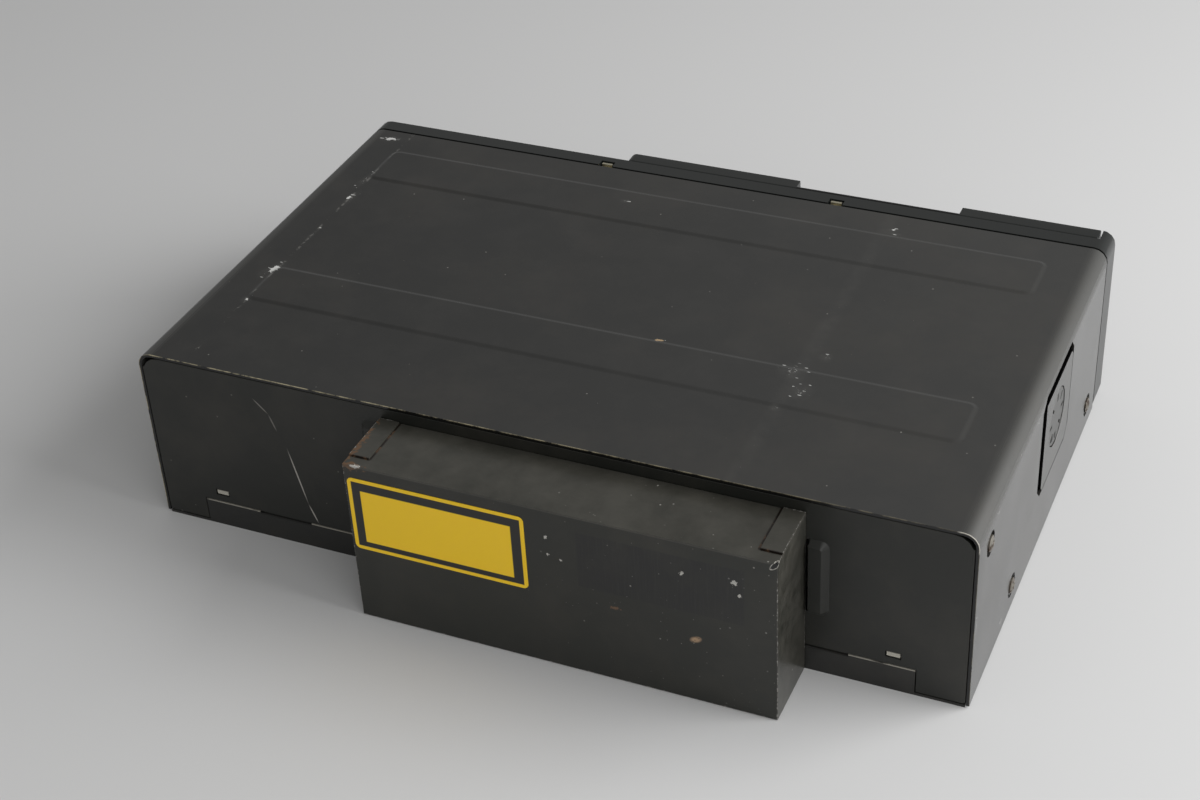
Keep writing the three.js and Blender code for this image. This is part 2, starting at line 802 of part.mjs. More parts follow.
function coverScrews() {
  let count = 0;
  for (const hand of [-1, 1]) {
    for (const spot of screwSpots) {
      count += 1;
      const head = turned(
        headShares.map(([r, h]) => [r * screwHeadRadius, h * screwHeadHeight]),
        'x',
        [0, 0, 0],
        discSteps / 4,
      );
      const shank = bar(
        'x',
        [0, 0],
        screwShankRadius,
        [-screwShankLength, screwHeadHeight / 2],
        arcSteps * 2,
      );
      const socket = join(
        block(
          [screwHeadHeight / 2, screwHeadHeight + overrun],
          around(0, screwHeadRadius),
          around(0, seat * 2),
        ),
        block(
          [screwHeadHeight / 2, screwHeadHeight + overrun],
          around(0, seat * 2),
          around(0, screwHeadRadius),
        ),
      );
      let screw = cut(join(head, shank), socket);
      if (hand < 0) screw = screw.rotate([0, 0, 180]);
      const x = hand * (halfWidth - dimpleDepth + seat);
      piece(`cover_screw_${count}`, screw.translate([x, spot.y, spot.z]), 'zincSteel');
    }
  }
}

function sideAdjusters() {
  const hands = [['right', -1], ['left', 1]];
  const plateY = [windowSpanY[0] + adjusterGap, windowSpanY[1] - adjusterRearGap];
  const plateZ = [windowSpanZ[0] + adjusterGap, windowSpanZ[1] - adjusterTopGap];
  const dialY = mid(windowSpanY) - dialShiftY;
  const dialZ = mid(windowSpanZ);
  for (const [word, hand] of hands) {
    const wall = (from, to) => [hand * (halfWidth - from), hand * (halfWidth - to)].sort((a, b) => a - b);
    const back = sheet + seat + sheet;
    const rearStrip = springInset + hookWidth;
    let plate = join(
      extruded(chamfered(plateY, plateZ, windowChamfer - adjusterGap), 'x', wall(back, 0)),
      block(
        wall(back, sheet + seat),
        [windowSpanY[0] - adjusterMargin, windowSpanY[1] + rearStrip],
        [windowSpanZ[0] - adjusterMargin, Math.min(windowSpanZ[1], caseHeight - bend) - seat],
      ),
    );
    const springY = windowSpanY[1] + springInset;
    const hookZ = springFoot + springLength;
    const hookDepth = innerHalf - chassisHalf - 2 * sheet;
    plate = join(plate, block(
      wall(back + hookDepth, back - sheet / 2),
      around(springY, hookWidth),
      [hookZ + seat, hookZ + seat + hookThick],
    ));
    plate = cut(
      plate,
      bar('x', [dialY, dialZ], dialRadius + seat, wall(back + overrun, -overrun)),
    );
    piece(`adjuster_plate_${word}`, plate, 'paintedSteel');
    let dial = join(
      bar('x', [dialY, dialZ], dialRadius, wall(back, seat / 2)),
      bar('x', [dialY, dialZ], dialRadius + dialLip, wall(back + seat + sheet, back + seat)),
      bar('x', [dialY, dialZ], dialRadius - dialLip, wall(back + seat, back - seat)),
    );
    for (let i = 0; i < dialSlots; i += 1) {
      const angle = (2 * Math.PI * i) / dialSlots;
      const slotBlock = block(
        wall(back + overrun + 2 * sheet, -overrun),
        around(0, dialSlotLength),
        around(0, dialSlotWidth),
      );
      dial = cut(dial, slotBlock
        .rotate([THREE.MathUtils.radToDeg(angle), 0, 0])
        .translate([
          0,
          dialY + dialSlotRadius * Math.cos(angle),
          dialZ + dialSlotRadius * Math.sin(angle),
        ]));
    }
    piece(`adjuster_dial_${word}`, dial, 'paintedSteel');
    const springX = hand * (chassisHalf + hookDepth / 2 + sheet / 2);
    piece(
      `suspension_spring_${word}`,
      coil(springX, springY, springFoot + seat, springLength - seat),
      'zincSteel',
    );
  }
}

// One unbroken helix of round wire, standing along Z
function coil(x, y, foot, height) {
  const steps = coilSteps;
  const sides = coilSides;
  const wire = springWire / 2;
  const rise = (height - springWire) / (springTurns * steps);
  const rings = springTurns * steps;
  const positions = [];
  const slope = Math.atan2(rise * steps, 2 * Math.PI * springRadius);
  for (let i = 0; i <= rings; i += 1) {
    const turn = (2 * Math.PI * i) / steps;
    for (let j = 0; j < sides; j += 1) {
      const angle = (2 * Math.PI * j) / sides;
      const out = springRadius + wire * Math.cos(angle);
      const up = wire * Math.sin(angle);
      positions.push(
        x + out * Math.cos(turn) + up * Math.sin(slope) * Math.sin(turn),
        y + out * Math.sin(turn) - up * Math.sin(slope) * Math.cos(turn),
        foot + wire + i * rise + up * Math.cos(slope),
      );
    }
  }
  const index = [];
  for (let i = 0; i < rings; i += 1) {
    for (let j = 0; j < sides; j += 1) {
      const a = i * sides + j;
      const b = i * sides + ((j + 1) % sides);
      index.push(a, a + sides, b, b, a + sides, b + sides);
    }
  }
  for (let j = 1; j < sides - 1; j += 1) {
    const last = rings * sides;
    index.push(0, j, j + 1);
    index.push(last, last + j + 1, last + j);
  }
  const geometry = new THREE.BufferGeometry();
  geometry.setAttribute('position', new THREE.BufferAttribute(new Float32Array(positions), 3));
  geometry.setIndex(index);
  return solidOf(geometry);
}

const boxX = [-boxRight, boxLeft];
const boxY = [rearY + seat, moduleFaceY];
const boxTop = boxHeight - boxTabRise;

function connectionBox() {
  const outer = block(boxX, boxY, [footClearance, boxTop]);
  const inner = block(
    [boxX[0] + sheet, boxX[1] - sheet],
    [boxY[0] - overrun, boxY[1] - sheet],
    [footClearance + sheet, boxTop - sheet],
  );
  let body = cut(outer, inner);
  for (const hand of [0, 1]) {
    const edge = boxX[hand];
    const inward = hand === 0 ? 1 : -1;
    const tabX = [edge, edge + inward * boxTabWidth].sort((a, b) => a - b);
    const tabY = [boxY[0], boxY[1] - boxTabEnd];
    body = join(body, block(tabX, tabY, [boxTop - sheet, boxHeight]));
  }
  // the open corner where the top and the end are folded from the face
  body = cut(body, block(
    [boxX[0] - overrun, boxX[0] + sheet],
    [boxY[1] - sheet - slip, boxY[1] - sheet],
    [boxTop - 3 * sheet, boxTop + overrun],
  ));
  const through = [boxX[1] - sheet - overrun, boxX[1] + overrun];
  const socketY = mid([boxY[0] + fieldRise, boxY[1]]);
  body = cut(
    body,
    bar('x', [socketY, busHeight], busRadius + seat, through),
    block(through, around(socketY, powerWidth + 2 * seat), around(powerZ, powerHeight + 2 * seat)),
  );
  piece('connection_box', body, 'darkSteel');

  const busBack = boxX[1] - sheet - busDepth;
  let bus = join(
    bar('x', [socketY, busHeight], busRadius, [busBack, boxX[1] + seat]),
    block(
      [busBack, boxX[1] - sheet - seat],
      around(socketY, 2 * busRadius),
      [busHeight - busRadius - busRim, busHeight + busRim],
    ),
  );
  bus = cut(bus, bar('x', [socketY, busHeight], busBore, [busBack + busRim, boxX[1] + overrun]));
  piece('bus_socket', bus, 'blackPlastic');

  let power = join(
    block([busBack, boxX[1] + seat], around(socketY, powerWidth), around(powerZ, powerHeight)),
    block(
      [busBack, boxX[1] - sheet - seat],
      around(socketY, powerWidth + busRim),
      around(powerZ, powerHeight + busRim),
    ),
  );
  power = cut(power, block(
    [busBack + busRim, boxX[1] + overrun],
    around(socketY, powerWidth - 2 * powerWall),
    around(powerZ, powerHeight - 2 * powerWall),
  ));
  piece('power_socket', power, 'whitePlastic');

  const boardX = [boxX[0] + sheet + seat, busBack - seat];
  const boardY = [boxY[0] + seat, moduleFaceY - sheet - seat];
  const boardZ = [powerZ + powerHeight, powerZ + powerHeight + boardThickness];
  let board = block(boardX, boardY, boardZ);
  for (const share of smallChipShares) {
    const x = boardX[0] + share * length(boardX);
    board = join(
      board,
      block(
        around(x, length(boardX) / 8),
        around(mid(boardY), length(boardY) / 2),
        [boardZ[0], boardZ[1] + chipHeight],
      ),
    );
  }
  board = join(
    board,
    bar('z', [boardX[1] - 3 * capRadius, mid(boardY)], capRadius, [boardZ[0], boardZ[1] + 3 * capRadius]),
  );
  piece('interface_board', board, 'board');
}

// Inner chassis, its rubber dampers and the boards

const chassisHalf = magazineRight + slip + chassisWall;
const chassisX = [-chassisHalf, chassisHalf];
const chassisY = [coverFrontY + sheet + chassisFront, rearY - sheet - chassisRear];
const floorZ = [chassisFloorZ, chassisFloorZ + chassisWall];
const deckX = [deckEdge, chassisHalf - chassisWall - slip];
const deckY = [trayY[0] - deckMarginFront, trayY[1] + hookArmRoom()];
const wallFrontY = [deckY[0] - slip - chassisWall, deckY[0] - slip];
const wallRearY = [deckY[1] + slip, deckY[1] + slip + chassisWall];
const slideFrontY = [wallFrontY[0] - slip - slideWall, wallFrontY[0] - slip];
const slideRearY = [wallRearY[1] + slip, wallRearY[1] + slip + slideWall];
const slideLength = length(deckX) - slideTravel - slip;
const slideX = [deckX[0], deckX[0] + slideLength];
const pinX = [
  slideX[0] + slideTravel + slotMargin,
  slideX[1] - slotMargin - slip,
];
const slideTop = guidePinZ + lift + guidePinRadius + slip + slotMargin;
const shelfTop = magazineFoot - seat;
const shelfZ = [shelfTop - chassisWall, shelfTop];
const gearRadius = (gearModule * pinionTeeth) / 2;
const wheelRadius = (wheelModule * wheelTeeth) / 2;
const motorGearRadius = (wheelModule * motorTeeth) / 2;
const gearX = slideX[1] - gearModule * gearInsetShare;
const rackPitchZ = slideTop + gearModule * dedendumShare;
const gearZ = rackPitchZ + gearRadius;
const motorGearZ = gearZ - wheelRadius - motorGearRadius;
const gearY = [slideRearY[1] - slideWall, slideRearY[1] + gearThick];
const wheelY = [gearY[1] + slip, gearY[1] + slip + gearThick];
const bracketY = [wheelY[1] + slip, wheelY[1] + slip + chassisWall];

const clampPinX = deckX[1] - bend;
const rodX = [deckCentreX + rodInset, deckX[1] - rodEnd];
const rodYs = [discY - rodSpacing / 2, discY + rodSpacing / 2];
const rodZ = deckZ - rodDrop;
const screwY = discY + screwOffset;
const lensX = deckCentreX + sledStart;
const sledTravel = rodX[1] - holderWidth - sledLength / 2 - sledEnd - lensX;

function hookArmRoom() {
  return seat + hookArm + seat;
}

function innerChassis() {
  const floorY = [chassisY[0], Math.max(chassisY[1], bracketY[1])];
  let body = block(chassisX, floorY, floorZ);
  for (const hand of [-1, 1]) {
    const wall = [hand * (chassisHalf - chassisWall), hand * chassisHalf].sort((a, b) => a - b);
    const wallY = [chassisY[0], wallRearY[1]];
    body = join(body, block(wall, wallY, [floorZ[0], chassisWallTop]));
    const springY = windowSpanY[1] + springInset;
    const hookDepth = innerHalf - chassisHalf - 2 * sheet;
    const hook = [hand * (chassisHalf - chassisWall / 2), hand * (chassisHalf + hookDepth)].sort((a, b) => a - b);
    body = join(body, block(hook, around(springY, hookWidth), [springFoot - hookThick, springFoot]));
  }
  body = join(
    body,
    block([0, chassisHalf], wallFrontY, [floorZ[0], chassisWallTop]),
    block([0, chassisHalf], wallRearY, [floorZ[0], chassisWallTop]),
    block(around(gearX, 4 * liftMotorRadius), bracketY, [floorZ[0], gearZ + gearRadius]),
  );
  // upright slots for the deck's guide pins
  for (const x of pinX) {
    for (const wall of [wallFrontY, wallRearY]) {
      body = cut(body, block(
        around(x, 2 * (guidePinRadius + slip)),
        [wall[0] - overrun, wall[1] + overrun],
        [guidePinZ - guidePinRadius - slip, guidePinZ + lift + guidePinRadius + slip],
      ));
    }
  }
  // room under the deck for its motors, and a slot for the rear wall of the lift slide
  const below = [floorZ[0] - overrun, floorZ[1]];
  body = cut(
    body,
    block(
      [slideX[0] + slotMargin, deckX[1] - slotMargin / 2],
      [rodYs[0] - holderWidth - slotMargin, screwY + holderWidth + slotMargin],
      [below[0], below[1] + sheetSkim],
    ),
    block(
      [slideX[0] - slip, chassisHalf - chassisWall],
      [slideRearY[0] - slip, slideRearY[1] + slip],
      [below[0], below[1] + sheetSkim],
    ),
    block(
      [-seat, chassisHalf + overrun],
      [chassisY[0] - overrun, wallFrontY[0]],
      [below[0], chassisWallTop + overrun],
    ),
    bar('y', [gearX, motorGearZ], shaftRadius + slip, [bracketY[0] - overrun, bracketY[1] + overrun]),
  );
  // axle of the lift gear
  body = join(body, bar('y', [gearX, gearZ], shaftRadius * 2, [gearY[0] + slip, bracketY[1]]));
  // bosses under the main board
  for (const spot of boardSpots()) {
    body = join(body, bar('z', spot, damperNeck / 2, [floorZ[0], floorZ[1] + boardLift]));
  }
  for (const [x, y] of damperSpots()) {
    body = cut(body, bar('z', [x, y], damperNeck / 2 + slip, [floorZ[0] - overrun, floorZ[1] + overrun]));
  }
  piece('inner_chassis', body, 'zincSteel');
}

const damperSpots = () => [
  [chassisX[0] + damperInsetX, chassisY[0] + damperInsetFront],
  [chassisX[1] - damperInsetX + damperNeck, wallFrontY[1] + damperInsetFront - damperNeck],
  [chassisX[0] + damperInsetX, chassisY[1] - damperInsetRear],
  [chassisX[1] - damperInsetX, chassisY[1] - damperInsetRear + damperNeck],
];

const mainBoardX = [magazineX[0] + damperInsetX / 2, magazineX[1] - damperInsetX];
const mainBoardY = [chassisY[0] + 2 * damperInsetFront, magazineY[1] - damperInsetRear];
const boardSpots = () => [
  [mainBoardX[0] + damperNeck, mainBoardY[0] + damperNeck],
  [mainBoardX[1] - damperNeck, mainBoardY[0] + damperNeck],
  [mainBoardX[0] + damperNeck, mainBoardY[1] - damperNeck],
  [mainBoardX[1] - damperNeck, mainBoardY[1] - damperNeck],
];

function dampers() {
  const foot = sheet + seat;
  const rise = floorZ[0] - seat - foot;
  const tip = floorZ[1] + sheet - foot;
  damperSpots().forEach(([x, y], i) => {
    const profile = damperShares.map(([r, h]) => [r * damperRadius, h * rise]);
    profile.push([damperNeck / 2, rise], [damperNeck / 2, tip], [0, tip]);
    piece(`damper_${i + 1}`, turned(profile, 'z', [x, y, foot], roundSteps / 2), 'rubber');
  });
}

function mainBoard() {
  const z = [floorZ[1] + boardLift + seat, floorZ[1] + boardLift + seat + boardThickness];
  let board = block(mainBoardX, mainBoardY, z);
  for (const [shareX, shareY, sizeShare] of chipShares) {
    const x = mainBoardX[0] + shareX * length(mainBoardX);
    const y = mainBoardY[0] + shareY * length(mainBoardY);
    const size = sizeShare * length(mainBoardX);
    board = join(board, block(around(x, size), around(y, size), [z[0], z[1] + chipHeight]));
  }
  for (const share of capShares) {
    const x = mainBoardX[0] + share * length(mainBoardX);
    board = join(
      board,
      bar('z', [x, mainBoardY[1] - 3 * capRadius], capRadius, [z[0], z[1] + chipHeight], roundSteps / 2),
    );
  }
  piece('main_board', board, 'board');
}

function magazineShelf() {
  const x = [-chassisHalf + chassisWall + seat, magazineX[1] + magazineWall];
  const y = [chassisY[0], magazineY[1]];
  const leg = [floorZ[1] + seat, shelfZ[1]];
  const body = join(
    block(x, y, shelfZ),
    block([x[0], x[0] + chassisWall], y, leg),
    block([x[1] - chassisWall, x[1]], y, [leg[0], shelfZ[1] + magazineFloor]),
  );
  piece('magazine_shelf', body, 'zincSteel');
}

// Magazine and trays

function magazine() {
  const cavityX = [magazineX[0] + magazineWall, magazineX[1] + overrun];
  const cavityY = [magazineY[0] + gripDepth, magazineY[1] - magazineWall];
  const cavityZ = [magazineZ[0] + magazineFloor, magazineZ[1] - magazineFloor];
  let body = cut(
    extruded(rounded(magazineX, magazineY, [magazineWall, 0, 0, magazineWall]), 'z', magazineZ),
    block(cavityX, cavityY, cavityZ),
  );
  const combEnd = magazineX[1] - hookBay;
  for (let i = 1; i < trayCount; i += 1) {
    const top = cavityZ[0] + i * trayPitch;
    const z = [top - combThick, top];
    body = join(
      body,
      block([cavityX[0] - overrun, combEnd], [cavityY[0] - overrun, cavityY[0] + combDepth], z),
      block([cavityX[0] - overrun, combEnd], [cavityY[1] - combDepth, cavityY[1] + overrun], z),
    );
  }
  const bayY = [cavityY[1] - combDepth - hookNib(), magazineY[1] + overrun];
  body = cut(
    body,
    block([combEnd, magazineX[1] + overrun], bayY, [magazineZ[0] - overrun, magazineZ[1] + overrun]),
  );
  const grip = around(mid(magazineX), scoopWidth);
  body = cut(body, block(
    grip,
    [magazineY[0] - overrun, magazineY[0] + scoopDepth],
    around(mid(magazineZ), scoopHeight),
  ));
  piece('magazine_shell', body, 'blackPlastic');
}

const hookNib = () => combDepth + magazineWall;
const nibX = nibShares.map((share) => trayX[1] - hookBay * share);

function trays() {
  for (let i = 0; i < trayCount; i += 1) {
    const foot = magazineZ[0] + magazineFloor + seat + i * trayPitch;
    const z = [foot, foot + trayThick];
    let tray = extruded(rounded(trayX, trayY, [sheet, sheet, sheet, sheet]), 'z', z);
    const openX = [discX, trayX[1] + overrun];
    tray = cut(
      tray,
      bar('z', [discX, discY], discRadius, [z[1] - trayThick * pocketShare, z[1] + overrun], discSteps),
      bar('z', [discX, discY], platterRadius + 2 * slip, [z[0] - overrun, z[1] + overrun]),
      block(openX, around(discY, 2 * (platterRadius + 2 * slip)), [z[0] - overrun, z[1] + overrun]),
      block(
        [nibX[0] - slip, nibX[1] + slip],
        [trayY[1] - hookNib(), trayY[1] + overrun],
        [z[0] - overrun, z[1] + overrun],
      ),
    );
    piece(`tray_${i + 1}`, tray, 'greyPlastic');
  }
}

function ejector() {
  const x = around(mid(magazineX), scoopWidth / 2);
  const y = [magazineY[1] + seat, magazineY[1] + seat + 2 * magazineWall];
  const z = [magazineFoot, mid(magazineZ)];
  const body = join(
    block(x, y, z),
    block(x, [y[1] - magazineWall, y[1] + 2 * magazineWall], [z[0], z[0] + magazineWall]),
  );
  piece('ejector', body, 'whitePlastic');
}

const buttonFlangeY = [bezelInnerY + seat, bezelInnerY + seat + buttonFlangeThick];

function ejectButton() {
  const body = join(
    extruded(
      rounded(around(buttonX, buttonWidth), around(buttonZ, buttonHeight), sheet),
      'y',
      [bezelFrontY - buttonProud, buttonFlangeY[1]],
    ),
    block(
      around(buttonX, buttonWidth + 2 * buttonFlange),
      buttonFlangeY,
      around(buttonZ, buttonHeight + 2 * buttonFlange),
    ),
  );
  piece('eject_button', body, 'bezelPlastic');
}

// The switch stands through the frame; its plunger leaves the button room for its travel
function switchBoard() {
  const boardY = [coverFrontY + sheet + seat, coverFrontY + sheet + seat + boardThickness];
  const plungerTip = buttonFlangeY[1] + buttonTravel + seat;
  const body = join(
    block(around(buttonX, switchBoardWidth), boardY, around(buttonZ, switchBoardHeight)),
    block(around(buttonX, switchWidth), [boardY[0] - switchDepth, boardY[1]], around(buttonZ, switchWidth)),
    bar('y', [buttonX, buttonZ], plungerRadius, [plungerTip, boardY[1]], roundSteps / 2),
  );
  piece('switch_board', body, 'board');
}

// Player deck, which the lift slide raises to each tray


function deck() {
  const z = [deckZ, deckZ + deckPlate];
  let body = join(
    block(deckX, deckY, z),
    block(deckX, [deckY[0], deckY[0] + chassisWall], [floorZ[1] + seat, z[1]]),
    block(deckX, [deckY[1] - chassisWall, deckY[1]], [floorZ[1] + seat, z[1]]),
  );
  for (const x of pinX) {
    body = join(
      body,
      bar(
        'y',
        [x, guidePinZ],
        guidePinRadius,
        [slideFrontY[0] - seat, deckY[0] + chassisWall / 2],
        roundSteps / 2,
      ),
      bar(
        'y',
        [x, guidePinZ],
        guidePinRadius,
        [deckY[1] - chassisWall / 2, slideRearY[1] + seat],
        roundSteps / 2,
      ),
    );
  }
  for (const x of [rodX[0], rodX[1] - holderWidth]) {
    for (const y of [...rodYs, screwY]) {
      body = join(
        body,
        block([x, x + holderWidth], around(y, 2 * holderWidth), [rodZ - holderWidth, deckZ + seat]),
      );
    }
  }
  const earY = [around(discY - clampEarHalf, chassisWall), around(discY + clampEarHalf, chassisWall)];
  for (const y of earY) {
    body = join(
      body,
      block(around(clampPinX, clampEarWidth), y, [deckZ, clampPinHeight + clampEarWidth / 2]),
    );
    body = cut(
      body,
      bar('y', [clampPinX, clampPinHeight], clampPinRadius + seat / 2, [y[0] - overrun, y[1] + overrun]),
    );
  }
  const through = [z[0] - overrun, z[1] + overrun];
  body = cut(
    body,
    bar('z', [deckCentreX, discY], platterRadius / 2, through),
    extruded(
      rounded(
        [lensX - lensRadius * lensWellShare, lensX + sledTravel + lensRadius * lensWellShare],
        around(discY, 4 * lensRadius),
        lensRadius,
      ),
      'z',
      through,
    ),
  );
  for (const y of rodYs) {
    body = cut(
      body,
      bar('x', [y, rodZ], rodRadius + seat / 2, [rodX[0] - overrun, rodX[1] + overrun], roundSteps / 2),
    );
  }
  body = cut(
    body,
    bar('x', [screwY, rodZ], screwRadius + seat, [rodX[0] - overrun, rodX[1] - sheet], roundSteps / 2),
  );
  piece('deck_plate', body, 'zincSteel');
}

function pickup() {
  rodYs.forEach((y, i) => {
    piece(
      `guide_rod_${i + 1}`,
      bar('x', [y, rodZ], rodRadius, [rodX[0], rodX[1]], roundSteps / 2),
      'polishedSteel',
    );
  });
  const x = around(lensX, sledLength);
  let sled = extruded(
    rounded(x, [rodYs[0] - holderWidth, screwY + holderWidth], sheet),
    'z',
    around(rodZ, sledHeight),
  );
  sled = join(
    sled,
    bar('z', [lensX, discY], lensRadius * lensBarrelShare, [rodZ, deckZ + deckPlate]),
    turned(
      [
        [0, 0],
        [lensRadius, 0],
        [lensRadius, lensRise * lensShoulderShare],
        [lensRadius * lensShoulderShare, lensRise * lensCrownShare],
        [0, lensRise],
      ],
      'z',
      [lensX, discY, deckZ],
    ),
  );
  for (const y of rodYs) {
    sled = cut(
      sled,
      bar('x', [y, rodZ], rodRadius + slip, [x[0] - overrun, x[1] + overrun], roundSteps / 2),
    );
  }
  sled = cut(
    sled,
    bar('x', [screwY, rodZ], screwRadius + slip, [x[0] - overrun, x[1] + overrun], roundSteps / 2),
  );
  piece('pickup_sled', sled, 'blackPlastic');
  piece(
    'lead_screw',
    bar('x', [screwY, rodZ], screwRadius, [rodX[0] - holderWidth, rodX[1] - sheet - seat], roundSteps / 2),
    'brass',
  );
  const motorX = [rodX[0] - holderWidth - seat - screwMotorLength, rodX[0] - holderWidth - seat];
  piece('sled_motor', bar('x', [screwY, rodZ], rodDrop - seat, motorX), 'polishedSteel');
}

function turntable() {
  const motorZ = [deckZ - seat - motorHeight, deckZ - seat];
  piece('spindle_motor', turned([
    [0, 0], [motorRadius * motorFootShare, 0], [motorRadius, sheet], [motorRadius, motorHeight],
    [shaftRadius * motorCollarShare, motorHeight], [
      shaftRadius * motorCollarShare,
      motorHeight + deckPlate,
    ],
    [shaftRadius, motorHeight + deckPlate], [shaftRadius, platterTop - motorZ[0] - sheet], [
      0,
      platterTop - motorZ[0] - sheet,
    ],
  ], 'z', [deckCentreX, discY, motorZ[0]]), 'polishedSteel');
  const under = platterTop - platterThick;
  const bossFoot = deckZ + deckPlate + slip;
  piece('turntable', turned([
    [shaftRadius + seat, bossFoot], [shaftRadius * hubShare, bossFoot], [shaftRadius * hubShare, under],
    [platterRadius, under], [platterRadius, platterTop], [coneRadius, platterTop],
    [coneRadius * coneTopShare, platterTop + coneRise], [0, platterTop + coneRise],
    [0, platterTop - sheet + seat], [shaftRadius + seat, platterTop - sheet + seat], [
      shaftRadius + seat,
      bossFoot,
    ],
  ], 'z', [deckCentreX, discY, 0]), 'blackPlastic');
}

function clamp() {
  const earInner = clampEarHalf - chassisWall / 2 - seat;
  const z = [clampArmZ, clampArmZ + clampArmThick];
  const reach = deckCentreX - puckRadius - clampLip;
  let arm = extruded(
    rounded(
      [reach, clampPinX],
      [discY - clampArmHalf - clampLip, discY + clampArmHalf + clampLip],
      [puckRadius / 2, 0, 0, puckRadius / 2],
    ),
    'z',
    z,
  );
  for (const hand of [-1, 1]) {
    const lug = [discY + hand * (earInner - chassisWall), discY + hand * earInner].sort((a, b) => a - b);
    arm = join(
      arm,
      block(around(clampPinX, clampEarWidth), lug, [z[0], clampPinHeight + clampEarWidth / 2]),
      block([reach + puckRadius, clampPinX], lug, [z[0], z[1] + sheet]),
    );
  }
  arm = cut(
    arm,
    bar('z', [deckCentreX, discY], puckNeck + slip, [z[0] - overrun, z[1] + overrun]),
    bar(
      'y',
      [clampPinX, clampPinHeight],
      clampPinRadius + seat,
      [discY - clampEarHalf, discY + clampEarHalf],
      roundSteps / 2,
    ),
  );
  piece('clamp_arm', arm, 'zincSteel');
  piece('clamp_pin', bar(
    'y',
    [clampPinX, clampPinHeight],
    clampPinRadius,
    [discY - clampEarHalf - chassisWall, discY + clampEarHalf + chassisWall],
    roundSteps / 2,
  ), 'polishedSteel');
  const low = z[0] - slip;
  const high = z[1] + seat;
  piece('clamp_puck', turned([
    [0, puckBottom + coneRise + slip], [coneRadius + slip, puckBottom + coneRise + slip],
    [coneRadius + slip, puckBottom], [puckRadius, puckBottom], [puckRadius, low], [puckNeck, low],
    [puckNeck, high], [puckNeck + clampLip, high], [puckNeck + clampLip, high + sheet], [0, high + sheet],
  ], 'z', [deckCentreX, discY, 0]), 'blackPlastic');
}

function trayPuller() {
  const foot = deckZ + deckPlate + seat;
  const hookZ = [magazineZ[0] + magazineFloor + seat, magazineZ[0] + magazineFloor + seat + trayThick];
  const armY = [trayY[1] + seat, trayY[1] + seat + hookArm];
  const postX = [deckX[0], deckX[0] + bend];
  const body = join(
    block(postX, [armY[0] - bend, armY[1]], [foot, magazineFoot + seat]),
    block(postX, armY, [foot, hookZ[1]]),
    block([nibX[0], postX[1]], armY, hookZ),
    block(nibX, [trayY[1] - hookNib() + slip, armY[1]], hookZ),
  );
  piece('tray_puller', body, 'whitePlastic');
}

// Teeth with straight flanks, wide at the root; the gap at the pitch line leaves the backlash
function gear(teeth, module, y, bore, centre, turn) {
  const pitchRadius = (module * teeth) / 2;
  const rootRadius = pitchRadius - dedendumShare * module;
  const tipRadius = pitchRadius + module;
  const half = (Math.PI / 2 / teeth) - toothBacklash / (2 * pitchRadius);
  const rootHalf = half * toothRootShare;
  const tipHalf = half * toothTipShare;
  const outline = [];
  for (let i = 0; i < teeth; i += 1) {
    const angle = turn + (2 * Math.PI * i) / teeth;
    for (const [r, offset] of [
      [rootRadius, -rootHalf],
      [pitchRadius, -half],
      [tipRadius, -tipHalf],
      [tipRadius, tipHalf],
      [pitchRadius, half],
      [rootRadius, rootHalf],
    ]) {
      outline.push([r * Math.cos(angle + offset), r * Math.sin(angle + offset)]);
    }
  }
  const placed = outline.map(([a, b]) => [centre[0] + a, centre[1] + b]);
  const body = extruded(polygon(placed), 'y', y);
  return bore ? cut(body, bar('y', centre, bore, [y[0] - overrun, y[1] + overrun])) : body;
}

function liftSlide() {
  const wall = (y) => {
    let side = block(slideX, y, [slideZ, slideTop]);
    for (const x of pinX) {
      const half = guidePinRadius + slip;
      const run = [Math.hypot(slideTravel, lift), Math.atan2(lift, -slideTravel)];
      const slot = [
        ...arc(x, guidePinZ, half, run[1] + Math.PI / 2, run[1] + 1.5 * Math.PI, arcSteps),
        ...arc(
          x - slideTravel,
          guidePinZ + lift,
          half,
          run[1] - Math.PI / 2,
          run[1] + Math.PI / 2,
          arcSteps,
        ),
      ];
      side = cut(side, extruded(slot, 'y', [y[0] - overrun, y[1] + overrun]));
    }
    return side;
  };
  const web = block(
    [slideX[0], slideX[0] + slideWeb],
    [slideFrontY[0], slideRearY[1]],
    [slideZ, slideZ + slideWall],
  );
  let body = join(wall(slideFrontY), wall(slideRearY), web);
  const pitch = Math.PI * gearModule;
  const rackY = slideRearY;
  const base = rackPitchZ - dedendumShare * gearModule;
  const half = pitch / 4 - toothBacklash / 2;
  const slope = Math.tan(THREE.MathUtils.degToRad(flankAngle));
  for (let i = 0; i < rackTeeth; i += 1) {
    const x = gearX + pitch / 2 - i * pitch;
    if (x - pitch / 2 > slideX[0] && x + pitch / 2 < slideX[1] + pitch / 4) {
      const tooth = [
        [x - half - slope * dedendumShare * gearModule, base - slip], [
          x + half + slope * dedendumShare * gearModule,
          base - slip,
        ],
        [x + half - slope * gearModule, rackPitchZ + gearModule], [
          x - half + slope * gearModule,
          rackPitchZ + gearModule,
        ],
      ];
      body = join(body, extruded(polygon(tooth), 'y', rackY));
    }
  }
  piece('lift_slide', body, 'zincSteel');
}

